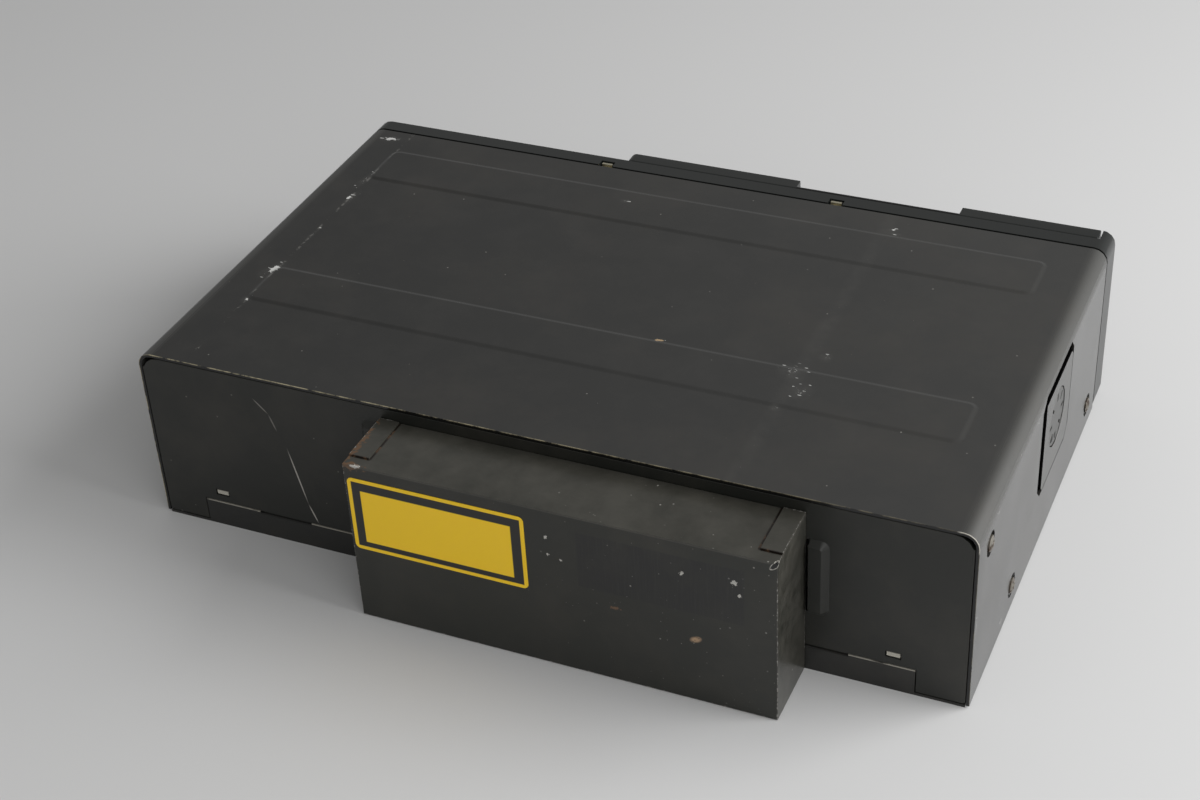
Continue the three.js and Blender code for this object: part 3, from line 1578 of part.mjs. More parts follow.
function liftDrive() {
  const axleBore = shaftRadius * 2 + slip / 2;
  // a tooth of the pinion points straight down into the gap between two rack teeth
  const pinion = gear(
    pinionTeeth,
    gearModule,
    [gearY[0], wheelY[1]],
    axleBore,
    [gearX, gearZ],
    -Math.PI / 2,
  );
  const wheel = gear(wheelTeeth, wheelModule, wheelY, axleBore, [gearX, gearZ], -Math.PI / 2);
  piece('lift_gear', join(pinion, wheel), 'whitePlastic');
  const small = gear(
    motorTeeth, wheelModule, wheelY, shaftRadius + seat / 2, [gearX, motorGearZ], Math.PI / 2 + Math.PI / motorTeeth,
  );
  piece('motor_pinion', small, 'brass');
  const can = bar(
    'y',
    [gearX, motorGearZ],
    liftMotorRadius,
    [bracketY[1] + seat, bracketY[1] + seat + liftMotorLength],
  );
  const shaft = bar(
    'y',
    [gearX, motorGearZ],
    shaftRadius,
    [wheelY[0], bracketY[1] + liftMotorLength],
    roundSteps / 2,
  );
  piece('lift_motor', join(can, shaft), 'polishedSteel');
}

topCover();
bottomPlate();
rearPanel();
frontFrame();
frontBezel();
door();
coverScrews();
connectionBox();
sideAdjusters();
innerChassis();
dampers();
mainBoard();
magazineShelf();
magazine();
trays();
ejector();
ejectButton();
switchBoard();
deck();
turntable();
pickup();
clamp();
trayPuller();
liftSlide();
liftDrive();

export default root;
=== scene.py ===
# %% [markdown]
# # Dressing a car disc changer
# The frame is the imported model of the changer: every solid in its real place, in metres.
# This lesson lights it, gives each solid its real finish and adds the small things a solid leaves out.

# %% Load the frame
import json
import math

import bpy
from mathutils import Matrix, Vector


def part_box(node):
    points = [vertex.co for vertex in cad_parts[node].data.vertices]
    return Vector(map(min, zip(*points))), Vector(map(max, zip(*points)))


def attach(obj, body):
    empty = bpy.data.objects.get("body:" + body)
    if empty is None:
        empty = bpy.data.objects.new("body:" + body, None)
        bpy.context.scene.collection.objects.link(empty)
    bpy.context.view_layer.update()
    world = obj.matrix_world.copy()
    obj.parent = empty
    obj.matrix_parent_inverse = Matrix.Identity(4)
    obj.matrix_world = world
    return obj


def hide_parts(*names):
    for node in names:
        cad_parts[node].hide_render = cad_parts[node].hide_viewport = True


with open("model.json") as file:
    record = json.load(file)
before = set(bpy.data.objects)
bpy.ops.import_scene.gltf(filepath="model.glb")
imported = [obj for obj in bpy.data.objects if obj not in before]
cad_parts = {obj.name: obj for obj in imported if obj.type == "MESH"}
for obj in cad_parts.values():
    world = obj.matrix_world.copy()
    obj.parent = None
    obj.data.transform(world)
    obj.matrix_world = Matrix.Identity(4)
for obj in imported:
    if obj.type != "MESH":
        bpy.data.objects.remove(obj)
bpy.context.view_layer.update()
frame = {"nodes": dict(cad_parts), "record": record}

MM = 0.001
nodes = frame["nodes"]
scene = bpy.context.scene
print("solids in the frame:", len(nodes))

# %% [markdown]
# The photograph looks down on the rear right corner from about 35 degrees.
# Its camera was found from the corners of the case, so the render lines up with it.
# The three directions below are the camera's right, up and backwards, which are the columns of its matrix.

# %% Camera
CAMERA_PLACE = (-0.246314, 0.544784, 0.450687)
CAMERA_RIGHT = (-0.9173973, -0.3951125, -0.0476267)
CAMERA_UP = (0.1920850, -0.5444186, 0.8165242)
CAMERA_BACK = (-0.3485478, 0.7399287, 0.5753434)
CAMERA_LENS = 64.32

camera_data = bpy.data.cameras.new("photo_camera")
camera_data.lens = CAMERA_LENS
camera_data.sensor_width = 36.0
camera = bpy.data.objects.new("photo_camera", camera_data)
scene.collection.objects.link(camera)
turned = Matrix((CAMERA_RIGHT, CAMERA_UP, CAMERA_BACK)).transposed()
camera.matrix_world = Matrix.LocRotScale(Vector(CAMERA_PLACE), turned.to_quaternion(), None)
scene.camera = camera
print("camera stands", round(camera.location.length, 3), "m from the middle of the base")

# %% [markdown]
# Colours are easiest to read off as the hex numbers that a picture editor shows.
# Blender wants linear light, so one function turns the first into the second.
# A second small function adds a shader node with its settings and links in one line, and a third
# starts a material.

# %% Colours and nodes
def linear(colour):
    """A hex colour as Blender's linear red, green, blue and alpha."""
    channels = [int(colour[i:i + 2], 16) / 255 for i in (1, 3, 5)]
    return [c / 12.92 if c <= 0.04045 else ((c + 0.055) / 1.055) ** 2.4 for c in channels] + [1.0]


def add(tree, kind, links=None, **settings):
    """A new node with its settings. Each link is a value, or the output of another node."""
    node = tree.nodes.new(kind)
    for name, value in settings.items():
        setattr(node, name, value)
    for socket, value in (links or {}).items():
        if isinstance(value, bpy.types.NodeSocket):
            tree.links.new(value, node.inputs[socket])
        else:
            node.inputs[socket].default_value = value
    return node


def finish(name, colour, metallic=0.0, roughness=0.5, ior=None):
    """A plain material, and the parts that the next cells build on: its tree, shader and place."""
    material = bpy.data.materials.new(name)
    material.use_nodes = True
    tree = material.node_tree
    shader = tree.nodes["Principled BSDF"]
    shader.inputs["Base Color"].default_value = linear(colour)
    shader.inputs["Metallic"].default_value = metallic
    shader.inputs["Roughness"].default_value = roughness
    if ior:
        shader.inputs["IOR"].default_value = ior
    place = add(tree, "ShaderNodeTexCoord").outputs["Object"]
    return material, tree, shader, place


print("a middle grey is", round(linear("#808080")[0], 3), "in linear light")

# %% [markdown]
# A sheet of pale grey studio paper lies under the case. It fills the whole view.
# It is stage, so it is no part of the object, and its slight unevenness is far wider than the case.

# %% Floor
FLOOR_SIDE = 6.0
FLOOR_CLOUDS = 2.0  # noise waves per metre

bpy.ops.object.select_all(action="DESELECT")
bpy.ops.mesh.primitive_plane_add(size=FLOOR_SIDE, location=(0, 0, 0))
floor = bpy.context.object
floor.name = "studio_floor"
floor_paper, tree, shader, place = finish("studio paper, matt", "#d1d1d1", roughness=0.9)
cloud = add(tree, "ShaderNodeTexNoise", {"Vector": place, "Scale": FLOOR_CLOUDS, "Detail": 1.0})
tint = add(tree, "ShaderNodeMix", {0: cloud.outputs[0], 6: linear("#cecece"), 7: linear("#d4d4d4")},
           data_type="RGBA")
tree.links.new(tint.outputs[2], shader.inputs["Base Color"])
floor.data.materials.append(floor_paper)
print("floor is", FLOOR_SIDE, "m wide")

# %% [markdown]
# The photograph was lit by one wide soft light to the right of the case, and a little behind it, and
# by the room. A low area lamp stands for the first, so the soft shadow falls to the left. A weaker lamp
# on the camera's side and the world stand for the room. Their levels add up to plain daylight, at which
# a colour renders about as it is written.

# %% Lights
DAYLIGHT = "#f6f6f5"
ROOM_LEVEL = 0.31


def soft_light(name, place, target, size, watts):
    """A square area lamp at place that faces target."""
    data = bpy.data.lights.new(name, "AREA")
    data.shape = "SQUARE"
    data.size = size
    data.energy = watts
    lamp = bpy.data.objects.new(name, data)
    scene.collection.objects.link(lamp)
    aim = (Vector(target) - Vector(place)).to_track_quat("-Z", "Y")
    lamp.matrix_world = Matrix.LocRotScale(Vector(place), aim, None)
    return lamp


soft_light("window_light", (-1.09, -0.29, 0.65), (0, 0, 0), size=1.1, watts=20.5)
soft_light("room_light", (-1.0, 1.2, 1.0), (0, 0, 0), size=1.6, watts=10.0)
world = bpy.data.worlds.new("plain_room")
scene.world = world
world.use_nodes = True
world.node_tree.nodes["Background"].inputs["Color"].default_value = linear(DAYLIGHT)
world.node_tree.nodes["Background"].inputs["Strength"].default_value = ROOM_LEVEL
scene.view_settings.view_transform = "Standard"

# %% [markdown]
# Wear is what makes the case look used: paint chipped along its corners, and scuffs where it was dragged.
# It could be painted on an image, but a pattern worked out from the place of each point stays sharp at
# any distance. Such a pattern is a mask, 1 where the wear is and 0 elsewhere. The first helpers make the
# soft outlines of marks, an oval patch and a straight band, and join masks together.

# %% Outlines of wear
FAR = 999.0  # mm, further out than any piece


def patch(tree, place, middle, size, turn=0.0, axis=1):
    """1 in the middle of an oval and 0 at its rim. Middle and size are in mm, turn in degrees."""
    rotation = [0.0, 0.0, 0.0]
    rotation[axis] = math.radians(turn)
    local = add(tree, "ShaderNodeMapping", {
        "Vector": place, "Location": [v * MM for v in middle], "Rotation": rotation,
        "Scale": [v * MM for v in size]}, vector_type="TEXTURE")
    far = add(tree, "ShaderNodeVectorMath", {0: local.outputs[0]}, operation="LENGTH")
    return add(tree, "ShaderNodeMath", {0: 1.0, 1: far.outputs["Value"]},
               operation="SUBTRACT", use_clamp=True).outputs[0]


def most(tree, values):
    """The largest of several masks."""
    best = values[0]
    for value in values[1:]:
        best = add(tree, "ShaderNodeMath", {0: best, 1: value}, operation="MAXIMUM").outputs[0]
    return best


def both(tree, *values):
    """The product of several masks, so 1 only where all of them are."""
    product = values[0]
    for value in values[1:]:
        product = add(tree, "ShaderNodeMath", {0: product, 1: value}, operation="MULTIPLY").outputs[0]
    return product


def band(tree, value, low, high, soft):
    """1 between low and high, fading over soft. All are in mm."""
    rise = add(tree, "ShaderNodeMapRange", {
        "Value": value, "From Min": (low - soft) * MM, "From Max": (low + soft) * MM}).outputs[0]
    fall = add(tree, "ShaderNodeMapRange", {
        "Value": value, "From Min": (high + soft) * MM, "From Max": (high - soft) * MM}).outputs[0]
    return both(tree, rise, fall)


print("outlines of wear: patch and band, joined by most and both")

# %% [markdown]
# Inside its outline no wear is even. Noise gives dust its clouds, and breaks a scuff up into crisp
# grains. Flecks lie on a grid of cells, each at its own place in its cell, and about half are left
# out. Nicks are flecks stretched along the way something was dragged. The numbers in a call of clouds
# are its size in mm, the two noise levels between which it rises from 0 to full, and its strength.

# %% Clouds, grains and flecks
GRAIN_CUT = (0.78, 0.82)
FLECK_RIM = (1.2, 0.8)
FLECKS_KEPT = 0.5
NICKS_FROM = 0.12


def clouds(tree, place, size, low, high, strength=1.0):
    """Soft uneven areas of about this size in mm, 0 where the noise is under low, full above high."""
    noise = add(tree, "ShaderNodeTexNoise", {
        "Vector": place, "Scale": 1.0 / (size * MM), "Detail": 6.0, "Roughness": 0.65})
    return add(tree, "ShaderNodeMapRange", {
        "Value": noise.outputs[0], "From Min": low, "From Max": high, "To Max": strength}).outputs[0]


def laid_along(tree, place, turn, stretch):
    """Places turned by some degrees, and stretched so that a pattern on them grows longer."""
    return add(tree, "ShaderNodeMapping", {
        "Vector": place, "Rotation": (0.0, 0.0, math.radians(turn)),
        "Scale": (1.0 / stretch, 1.0, 1.0)}).outputs[0]


def grains(tree, place, mask, grain, share=0.5, turn=0.0, stretch=1.0):
    """Breaks a soft mask into crisp grains of about this size in mm. A larger share leaves more."""
    noise = add(tree, "ShaderNodeTexNoise", {
        "Vector": laid_along(tree, place, turn, stretch), "Scale": 1.0 / (grain * MM),
        "Detail": 3.0, "Roughness": 0.6})
    level = add(tree, "ShaderNodeMath", {0: mask, 1: share, 2: noise.outputs[0]},
                operation="MULTIPLY_ADD")
    return add(tree, "ShaderNodeMapRange", {
        "Value": level.outputs[0], "From Min": GRAIN_CUT[0], "From Max": GRAIN_CUT[1]}).outputs[0]


def flecks(tree, place, spacing, radius, strength=1.0):
    """Small round flecks on a jittered grid, both sizes in mm."""
    cells = add(tree, "ShaderNodeTexVoronoi", {"Vector": place, "Scale": 1.0 / (spacing * MM)})
    share = radius / spacing
    dot = add(tree, "ShaderNodeMapRange", {
        "Value": cells.outputs["Distance"], "From Min": share * FLECK_RIM[0],
        "From Max": share * FLECK_RIM[1], "To Max": strength}).outputs[0]
    shade = add(tree, "ShaderNodeSeparateColor", {0: cells.outputs["Color"]}).outputs[0]
    kept = add(tree, "ShaderNodeMath", {0: shade, 1: FLECKS_KEPT}, operation="GREATER_THAN").outputs[0]
    return both(tree, dot, kept)


def chips(tree, place, mask, spacing, radius, turn=0.0, stretch=2.4):
    """Short parallel nicks inside a soft mask, as from dragging. Sizes are in mm, turn in degrees."""
    nicks = flecks(tree, laid_along(tree, place, turn, stretch), spacing, radius)
    inside = add(tree, "ShaderNodeMath", {0: mask, 1: NICKS_FROM}, operation="GREATER_THAN").outputs[0]
    return both(tree, nicks, inside)


print("share of the flecks that is kept:", FLECKS_KEPT)

# %% [markdown]
# The sheet steel is sprayed and baked. Such a coat dries to a fine ripple, which scatters a highlight
# a little. Dust, glue, rust and bare metal, and in places painted light and shade, then lie over it as
# layers of colour, each under its mask.

# %% Coats and layers
RIPPLE_STRENGTH = 0.25


def coated(name, colour, roughness, ior=1.5, peel=0.35, lift=0.06):
    """Paint on sheet steel: a plain colour with a ripple, whose width and height are in mm."""
    material, tree, shader, place = finish(name, colour, roughness=roughness, ior=ior)
    ripple = add(tree, "ShaderNodeTexNoise", {
        "Vector": place, "Scale": 1.0 / (peel * MM), "Detail": 2.0})
    bump = add(tree, "ShaderNodeBump", {
        "Height": ripple.outputs[0], "Strength": RIPPLE_STRENGTH, "Distance": lift * MM})
    tree.links.new(bump.outputs[0], shader.inputs["Normal"])
    return material, tree, shader, place


def lay(tree, shader, coat, layers):
    """Colours over the coat, from the lowest layer up. Each layer is a mask and a hex colour."""
    colour = linear(coat)
    for mask, shade in layers:
        colour = add(tree, "ShaderNodeMix", {0: mask, 6: colour, 7: linear(shade)},
                     data_type="RGBA").outputs[2]
    tree.links.new(colour, shader.inputs["Base Color"])


print("the ripple of a coat is", RIPPLE_STRENGTH, "of its full strength")

# %% [markdown]
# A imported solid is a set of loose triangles, so every facet of a bend would show. So each solid that
# shows gets a merged copy, which then stands for the solid.

# %% Merged copies
BODY_OF = {node: body for body, names in frame["record"]["behaviour"]["bodies"].items() for node in names}
MERGE_WITHIN = 0.002  # mm
FLAT_WITHIN = 0.5  # degrees
copies = {}


def pick(piece):
    """Selects one piece alone, so that the next operators act on nothing else."""
    bpy.ops.object.select_all(action="DESELECT")
    piece.select_set(True)
    bpy.context.view_layer.objects.active = piece


def merged_copy(name):
    """A copy of a solid with joined corners and undivided faces. It takes the solid's place."""
    piece = nodes[name].copy()
    piece.data = nodes[name].data.copy()
    piece.name = name + "_finished"
    piece.parent = None
    piece.matrix_world = Matrix.Identity(4)
    scene.collection.objects.link(piece)
    pick(piece)
    bpy.ops.object.mode_set(mode="EDIT")
    bpy.ops.mesh.select_all(action="SELECT")
    bpy.ops.mesh.remove_doubles(threshold=MERGE_WITHIN * MM)
    bpy.ops.mesh.dissolve_limited(angle_limit=math.radians(FLAT_WITHIN))
    bpy.ops.object.mode_set(mode="OBJECT")
    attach(piece, BODY_OF[name])
    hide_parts(name)
    copies[name] = piece
    return piece


def dress(material, *names):
    """Puts a material on these solids of the frame, and on the copies that stand for them."""
    for name in names:
        nodes[name].material_slots[0].material = material
        if name in copies:
            copies[name].material_slots[0].material = material


print("solids to choose from:", len(BODY_OF))

# %% [markdown]
# Real sheet steel bends smoothly, and no real edge is perfectly sharp. A bevel rounds the creases that
# lie in a chosen part of the piece, and smooth shading hides the facets of its bends. Weighted normals
# keep the large faces flat beside them.

# %% Round creases and smooth bends
def round_creases(piece, angle, offset, segments, low=(-FAR, -FAR, -FAR), high=(FAR, FAR, FAR)):
    """Rounds the creases sharper than angle that lie between two corners of a box, all in mm."""
    pick(piece)
    scene.tool_settings.mesh_select_mode = (False, True, False)
    bpy.ops.object.mode_set(mode="EDIT")
    bpy.ops.mesh.select_all(action="DESELECT")
    bpy.ops.mesh.edges_select_sharp(sharpness=math.radians(angle))
    bpy.ops.object.mode_set(mode="OBJECT")
    for edge in piece.data.edges:
        ends = [piece.data.vertices[v].co / MM for v in edge.vertices]
        if edge.select and not all(a <= v <= b for end in ends for a, v, b in zip(low, end, high)):
            edge.select = False
    # a face that stayed selected would select its edges again
    for polygon in piece.data.polygons:
        polygon.select = False
    bpy.ops.object.mode_set(mode="EDIT")
    bpy.ops.mesh.bevel(offset=offset * MM, segments=segments, clamp_overlap=True)
    bpy.ops.object.mode_set(mode="OBJECT")


def smooth_bends(piece, angle=30.0):
    """Smooth shading across facets, with every crease sharper than angle kept. Large faces stay flat."""
    pick(piece)
    bpy.ops.object.shade_smooth_by_angle(angle=math.radians(angle))
    flat = piece.modifiers.new("flat_faces", "WEIGHTED_NORMAL")
    flat.keep_sharp = True
    bpy.ops.object.modifier_apply(modifier=flat.name)
    return len(piece.data.polygons)


print("pieces merged so far:", len(copies))

# %% [markdown]
# The cover is one folded sheet of steel with two ribs pressed into its top, which keep it from
# drumming. A press leaves no sharp crease, so the ribs' edges are rounded with a bevel.

# %% Cover, shape
cover_low, cover_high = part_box("top_cover")
COVER_TOP = 66.0
COVER_BEND = 5.0
RIB_ROUND = 0.55
RIB_REACH = 127.0
RIB_FOOT = 0.05

cover = merged_copy("top_cover")
round_creases(cover, 10, RIB_ROUND, 2, low=(-RIB_REACH, -FAR, COVER_TOP - RIB_FOOT),
              high=(RIB_REACH, FAR, FAR))
print("faces of the cover:", smooth_bends(cover, 28))

# %% [markdown]
# Its finish is a baked satin coat, nearly black. A row of scuffs shows where something was dragged over
# it, and single chips lie beside them. Each mark is listed here with its place in millimetres on the
# real piece, its half widths and its turn in degrees.

# %% Cover, places of wear
COVER_SCUFFS = [
    ((130.0, -82.0), 6.0, 2.6, 20), ((124.5, -51.3), 2.0, 9.0, -8), ((122.9, -37.0), 2.0, 7.0, -6),
    ((123.6, -10.0), 1.2, 6.0, -4), ((124.4, 14.0), 3.0, 5.0, -10), ((126.3, 18.8), 3.2, 4.0, 10),
    ((123.8, 35.5), 2.5, 3.0, 0), ((-69.0, -78.0), 3.0, 1.8, 20), ((-70.0, -75.5), 4.0, 1.2, 0),
    ((-65.0, 15.8), 6.0, 6.5, 30), ((-71.0, 25.8), 4.5, 5.5, 0), ((-66.0, 35.8), 2.4, 2.4, 0),
    ((-72.0, 4.8), 3.0, 3.0, 0), ((-18.0, 12.8), 2.6, 1.8, 20), ((27.0, -66.0), 2.6, 1.6, 0)]
SIDE_SCUFFS = [
    ((-53.0, 57.0), 2.0, 1.8), ((4.5, 4.1), 3.0, 2.0), ((6.9, 59.0), 2.4, 1.6),
    ((28.4, 61.6), 3.0, 1.4), ((54.9, 58.6), 2.4, 1.8), ((-75.5, 10.2), 2.0, 2.0),
    ((40.0, 5.0), 3.0, 2.0), ((73.6, 30.0), 1.0, 11.0)]
BARE_CHIPS = [
    ((130.0, -82.0), 4.6, 1.6, 10), ((124.6, 15.5), 2.6, 4.0, -10), ((123.6, 35.5), 1.4, 1.2, 0),
    ((124.0, -37.0), 1.0, 2.4, -6), ((-69.0, -78.0), 1.0, 0.7, 20)]
RUSTY_CHIP = ((-18.0, 12.8), 2.6, 1.3, 10)
MARK_DEPTH = 3.0
DRAGGED_AT = 60  # degrees

cover_paint, tree, shader, place = coated("baked satin coat on sheet steel", "#2b2b2a", 0.22,
                                          ior=1.47, lift=0.02)
split = add(tree, "ShaderNodeSeparateXYZ", {0: place}).outputs
top_z = cover_high[2] / MM
right_x = cover_low[0] / MM
rear_y = cover_high[1] / MM


def on_top_at(spots):
    """Patches for a list of marks on the cover's top, joined."""
    return most(tree, [patch(tree, place, (x, y, top_z), (wide, long, MARK_DEPTH), turn, axis=2)
                       for (x, y), wide, long, turn in spots])


marked = most(tree, [on_top_at(COVER_SCUFFS)] + [
    patch(tree, place, (right_x, y, z), (MARK_DEPTH, wide, high)) for (y, z), wide, high in SIDE_SCUFFS])
scuffed = most(tree, [chips(tree, place, marked, 1.5, 0.25, turn=DRAGGED_AT, stretch=5.0),
                      chips(tree, place, marked, 1.1, 0.19, turn=-15, stretch=3.5),
                      grains(tree, place, marked, 0.5, 0.2, turn=DRAGGED_AT, stretch=2.4)])
bare_steel, rusty_chip = [
    grains(tree, place, on_top_at(spots), 0.8, 0.6, turn=DRAGGED_AT, stretch=1.6)
    for spots in (BARE_CHIPS, [RUSTY_CHIP])]
worn_place = both(tree, marked, clouds(tree, place, 3.0, 0.3, 0.7, 0.25))
print("scuffs on the cover:", len(COVER_SCUFFS) + len(SIDE_SCUFFS))

# %% [markdown]
# Paint is thinnest on an edge, so the sheet's cut edges show a thin broken line of bare metal on their
# outer corner, brightest toward the left. The cut face itself is painted black, as the painted shade of
# the gap between cover and panel. A line along the outer corner needs the depth of a point under the
# folded outline of the case.

# %% Cover, cut edges
CUT_LINE = 0.22
CUT_SOFT = 0.12
CUT_FACE = 0.05
GLINT_IN = 2.0


def skin_depth(tree, place, half_width, top, radius):
    """How far a point lies under the folded outline of the case, which has rounded upper corners."""
    size = add(tree, "ShaderNodeVectorMath", {0: place}, operation="ABSOLUTE")
    flat = add(tree, "ShaderNodeVectorMath", {0: size.outputs[0], 1: (1.0, 0.0, 1.0)}, operation="MULTIPLY")
    past = add(tree, "ShaderNodeVectorMath", {
        0: flat.outputs[0], 1: (half_width - radius, 0.0, top - radius)}, operation="SUBTRACT")
    out = add(tree, "ShaderNodeVectorMath", {0: past.outputs[0], 1: (0.0, 0.0, 0.0)}, operation="MAXIMUM")
    far = add(tree, "ShaderNodeVectorMath", {0: out.outputs[0]}, operation="LENGTH")
    return add(tree, "ShaderNodeMath", {0: radius, 1: far.outputs["Value"]}, operation="SUBTRACT").outputs[0]


depth = skin_depth(tree, place, cover_high[0], COVER_TOP * MM, COVER_BEND * MM)
skin = band(tree, depth, -2.0, CUT_LINE, CUT_SOFT)
rear_rim = band(tree, split[1], rear_y - CUT_LINE, rear_y + 1.0, CUT_SOFT)
toward_left = add(tree, "ShaderNodeMapRange", {
    "Value": split[0], "From Min": -130 * MM, "From Max": 60 * MM, "To Min": 0.2}).outputs[0]
cut_line = both(tree, skin, rear_rim, clouds(tree, place, 4.0, 0.4, 0.58), toward_left)
# painted shade: the cut face is painted black for the dark gap between cover and panel
cut_face_shade = band(tree, split[1], rear_y - CUT_FACE, rear_y + 1.0, 0.04)
corner = patch(tree, place, (right_x + GLINT_IN, rear_y, COVER_TOP - GLINT_IN), (6.0, 2.0, 6.0))
corner = add(tree, "ShaderNodeMapRange", {"Value": corner, "From Min": 0.1, "From Max": 0.3}).outputs[0]
corner_glint = both(tree, corner, skin, rear_rim)
print("the bare line is", CUT_LINE, "mm wide")

# %% [markdown]
# Dust lies on the top, and more of it lies in one lane from front to rear. The top is painted lighter
# toward the right, a painted highlight of the light on that side. Along the two long bends the colour
# is painted paler, a painted highlight, and the coat is duller there, where hands carry the case.

# %% Cover, dust and bends
DUST_LANE = (-67.5, -65.5)
LANE_SOFT = 2.4
DRAG_LINE = (123.2, 123.9)
BEND_SOFT = 1.5
RUBBED_ROUGHNESS = 0.4

lane = both(tree, band(tree, split[0], DUST_LANE[0], DUST_LANE[1], LANE_SOFT),
            most(tree, [clouds(tree, place, 7.0, 0.3, 0.8, 0.1), flecks(tree, place, 2.2, 0.16, 0.4)]))
dragged = both(tree, band(tree, split[0], DRAG_LINE[0], DRAG_LINE[1], 0.3),
               clouds(tree, place, 4.0, 0.52, 0.6, 0.4))
wide = add(tree, "ShaderNodeMath", {0: split[0]}, operation="ABSOLUTE").outputs[0]
above_bend = band(tree, split[2], COVER_TOP - COVER_BEND, FAR, BEND_SOFT)
# painted highlight: both long bends are painted paler; the roughness below is raised there too
on_bend = both(tree, band(tree, wide, cover_high[0] / MM - COVER_BEND, FAR, BEND_SOFT), above_bend)
# painted highlight: the top grows lighter toward the right, where the light falls
lit_toward_right = add(tree, "ShaderNodeMapRange", {
    "Value": split[0], "From Min": 120 * MM, "From Max": -140 * MM}).outputs[0]
lay(tree, shader, "#272726", [
    (both(tree, lit_toward_right, above_bend), "#383837"),
    (clouds(tree, place, 16.0, 0.45, 0.8, 0.12), "#504e4b"),
    (on_bend, "#474745"),
    (clouds(tree, place, 55.0, 0.46, 0.78, 0.22), "#4f4a43"),
    (lane, "#8a8882"),
    (dragged, "#8f8d88"),
    (flecks(tree, place, 7.0, 0.28, 0.55), "#8d8b86"),
    (worn_place, "#6a6966"),
    (scuffed, "#bcbcb9"),
    (bare_steel, "#cfcfcc"),
    (rusty_chip, "#a48d6d"),
    (cut_face_shade, "#0c0c0c"),
    (cut_line, "#a59c80"),
    (corner_glint, "#b8b4aa")])
uneven = add(tree, "ShaderNodeTexNoise", {"Vector": place, "Scale": 1.0 / (40 * MM), "Detail": 5.0})
rough = add(tree, "ShaderNodeMapRange", {
    "Value": uneven.outputs[0], "From Min": 0.3, "From Max": 0.7,
    "To Min": 0.13, "To Max": 0.22}).outputs[0]
rough = add(tree, "ShaderNodeMix", {0: on_bend, 2: rough, 3: RUBBED_ROUGHNESS},
            data_type="FLOAT").outputs[0]
tree.links.new(rough, shader.inputs["Roughness"])
dress(cover_paint, "top_cover")
print("the dust lane is", DUST_LANE[1] - DUST_LANE[0], "mm wide before it fades")

# %% [markdown]
# The rear panel is thinner sheet with a flatter coat, which has a touch of olive. Two fields beside the
# connection box are pressed outwards, so their edges are rounded like the ribs. One long scratch runs
# down the panel. Its path is a chain of thin ovals.

# %% Rear panel
PANEL_COAT = "#1a1b17"
PANEL_SCRATCHES = [((98.8, 57.4), (93.6, 52.3), 0.35), ((93.6, 52.3), (91.3, 45.9), 0.3),
                   ((88.5, 39.8), (83.4, 18.0), 0.8), ((83.4, 18.0), (80.6, 10.8), 0.8)]
SCRATCH_REACH = 0.62  # of its length, because an oval fades toward its ends
SCRATCH_WIDE = 0.4
FIELD_ROUND = 0.4

panel_low, panel_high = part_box("rear_panel")
panel = merged_copy("rear_panel")
round_creases(panel, 25, FIELD_ROUND, 2, low=(-FAR, rear_y - 0.05, -FAR))
print("faces of the panel:", smooth_bends(panel, 40))
panel_paint, tree, shader, place = coated("flat coat on sheet steel", PANEL_COAT, 0.45)
layers = [(clouds(tree, place, 35.0, 0.45, 0.8, 0.3), "#4a453d")]
for (x0, z0), (x1, z1), strength in PANEL_SCRATCHES:
    length = math.hypot(x1 - x0, z1 - z0)
    lean = -math.degrees(math.atan2(z1 - z0, x1 - x0))
    stroke = patch(tree, place, ((x0 + x1) / 2, rear_y, (z0 + z1) / 2),
                   (length * SCRATCH_REACH, MARK_DEPTH, SCRATCH_WIDE), lean)
    line = add(tree, "ShaderNodeMapRange", {
        "Value": stroke, "From Min": 0.15, "From Max": 0.5, "To Max": strength}).outputs[0]
    layers.append((line, "#b0ada6"))
layers.append((flecks(tree, place, 6.0, 0.3, 0.5), "#7d7a74"))
lay(tree, shader, PANEL_COAT, layers)
dress(panel_paint, "rear_panel")
print("the panel is", round((panel_high[2] - panel_low[2]) / MM, 1), "mm high")

# %% [markdown]
# The base is a tray of the same sheet. Its rear flange was cut after it was coated, so a bright line
# runs along the flange's upper edge, and the two hooks that hold the panel are bright too.

# %% Base
BASE_COAT = "#20201e"
FLANGE_TOP = 9.8
HOOK_X = (110.0, 124.5)
HOOK_FROM = FLANGE_TOP + 1.5
HOOK_REACH = 9.0
HOOK_SOFT = 0.2

base = merged_copy("bottom_plate")
print("faces of the base:", smooth_bends(base, 40))
base_paint, tree, shader, place = coated("flat coat on folded tray", BASE_COAT, 0.4)
split = add(tree, "ShaderNodeSeparateXYZ", {0: place}).outputs
span = add(tree, "ShaderNodeMath", {0: split[0]}, operation="ABSOLUTE").outputs[0]
bare_line = both(tree, band(tree, split[2], FLANGE_TOP - 0.35, FLANGE_TOP + 0.3, 0.08),
                 clouds(tree, place, 6.0, 0.3, 0.45))
hooks = both(tree, band(tree, split[2], HOOK_FROM, 40.0, HOOK_SOFT),
             band(tree, span, HOOK_X[0], HOOK_X[1], HOOK_SOFT),
             band(tree, split[1], rear_y - HOOK_REACH, rear_y + HOOK_REACH, HOOK_SOFT))
lay(tree, shader, BASE_COAT, [
    (clouds(tree, place, 30.0, 0.45, 0.8, 0.3), "#4a453d"),
    (bare_line, "#9a968c"),
    (hooks, "#b5b1a6")])
dress(base_paint, "bottom_plate")

# %% [markdown]
# The connection box is folded from the same steel, so its long edges are slightly round. A darker
# rectangle of old glue shows where a sticker was peeled off. Its corners are chipped, the upper left
# one and the seams round its two top tabs are rusty, and pale specks lie on its right half.

# %% Connection box, shape
BOX_ROUND = 0.5
box_low, box_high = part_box("connection_box")
box = merged_copy("connection_box")
round_creases(box, 60, BOX_ROUND, 3, low=(-FAR, rear_y + 1.0, -FAR))
print("faces of the box:", smooth_bends(box, 35))

# %% [markdown]
# The top is closed by two tabs, one at each end, and the seams round them have gathered rust. The glue
# went dull in places and kept the faint upright streaks of the wipe that took the rest off.

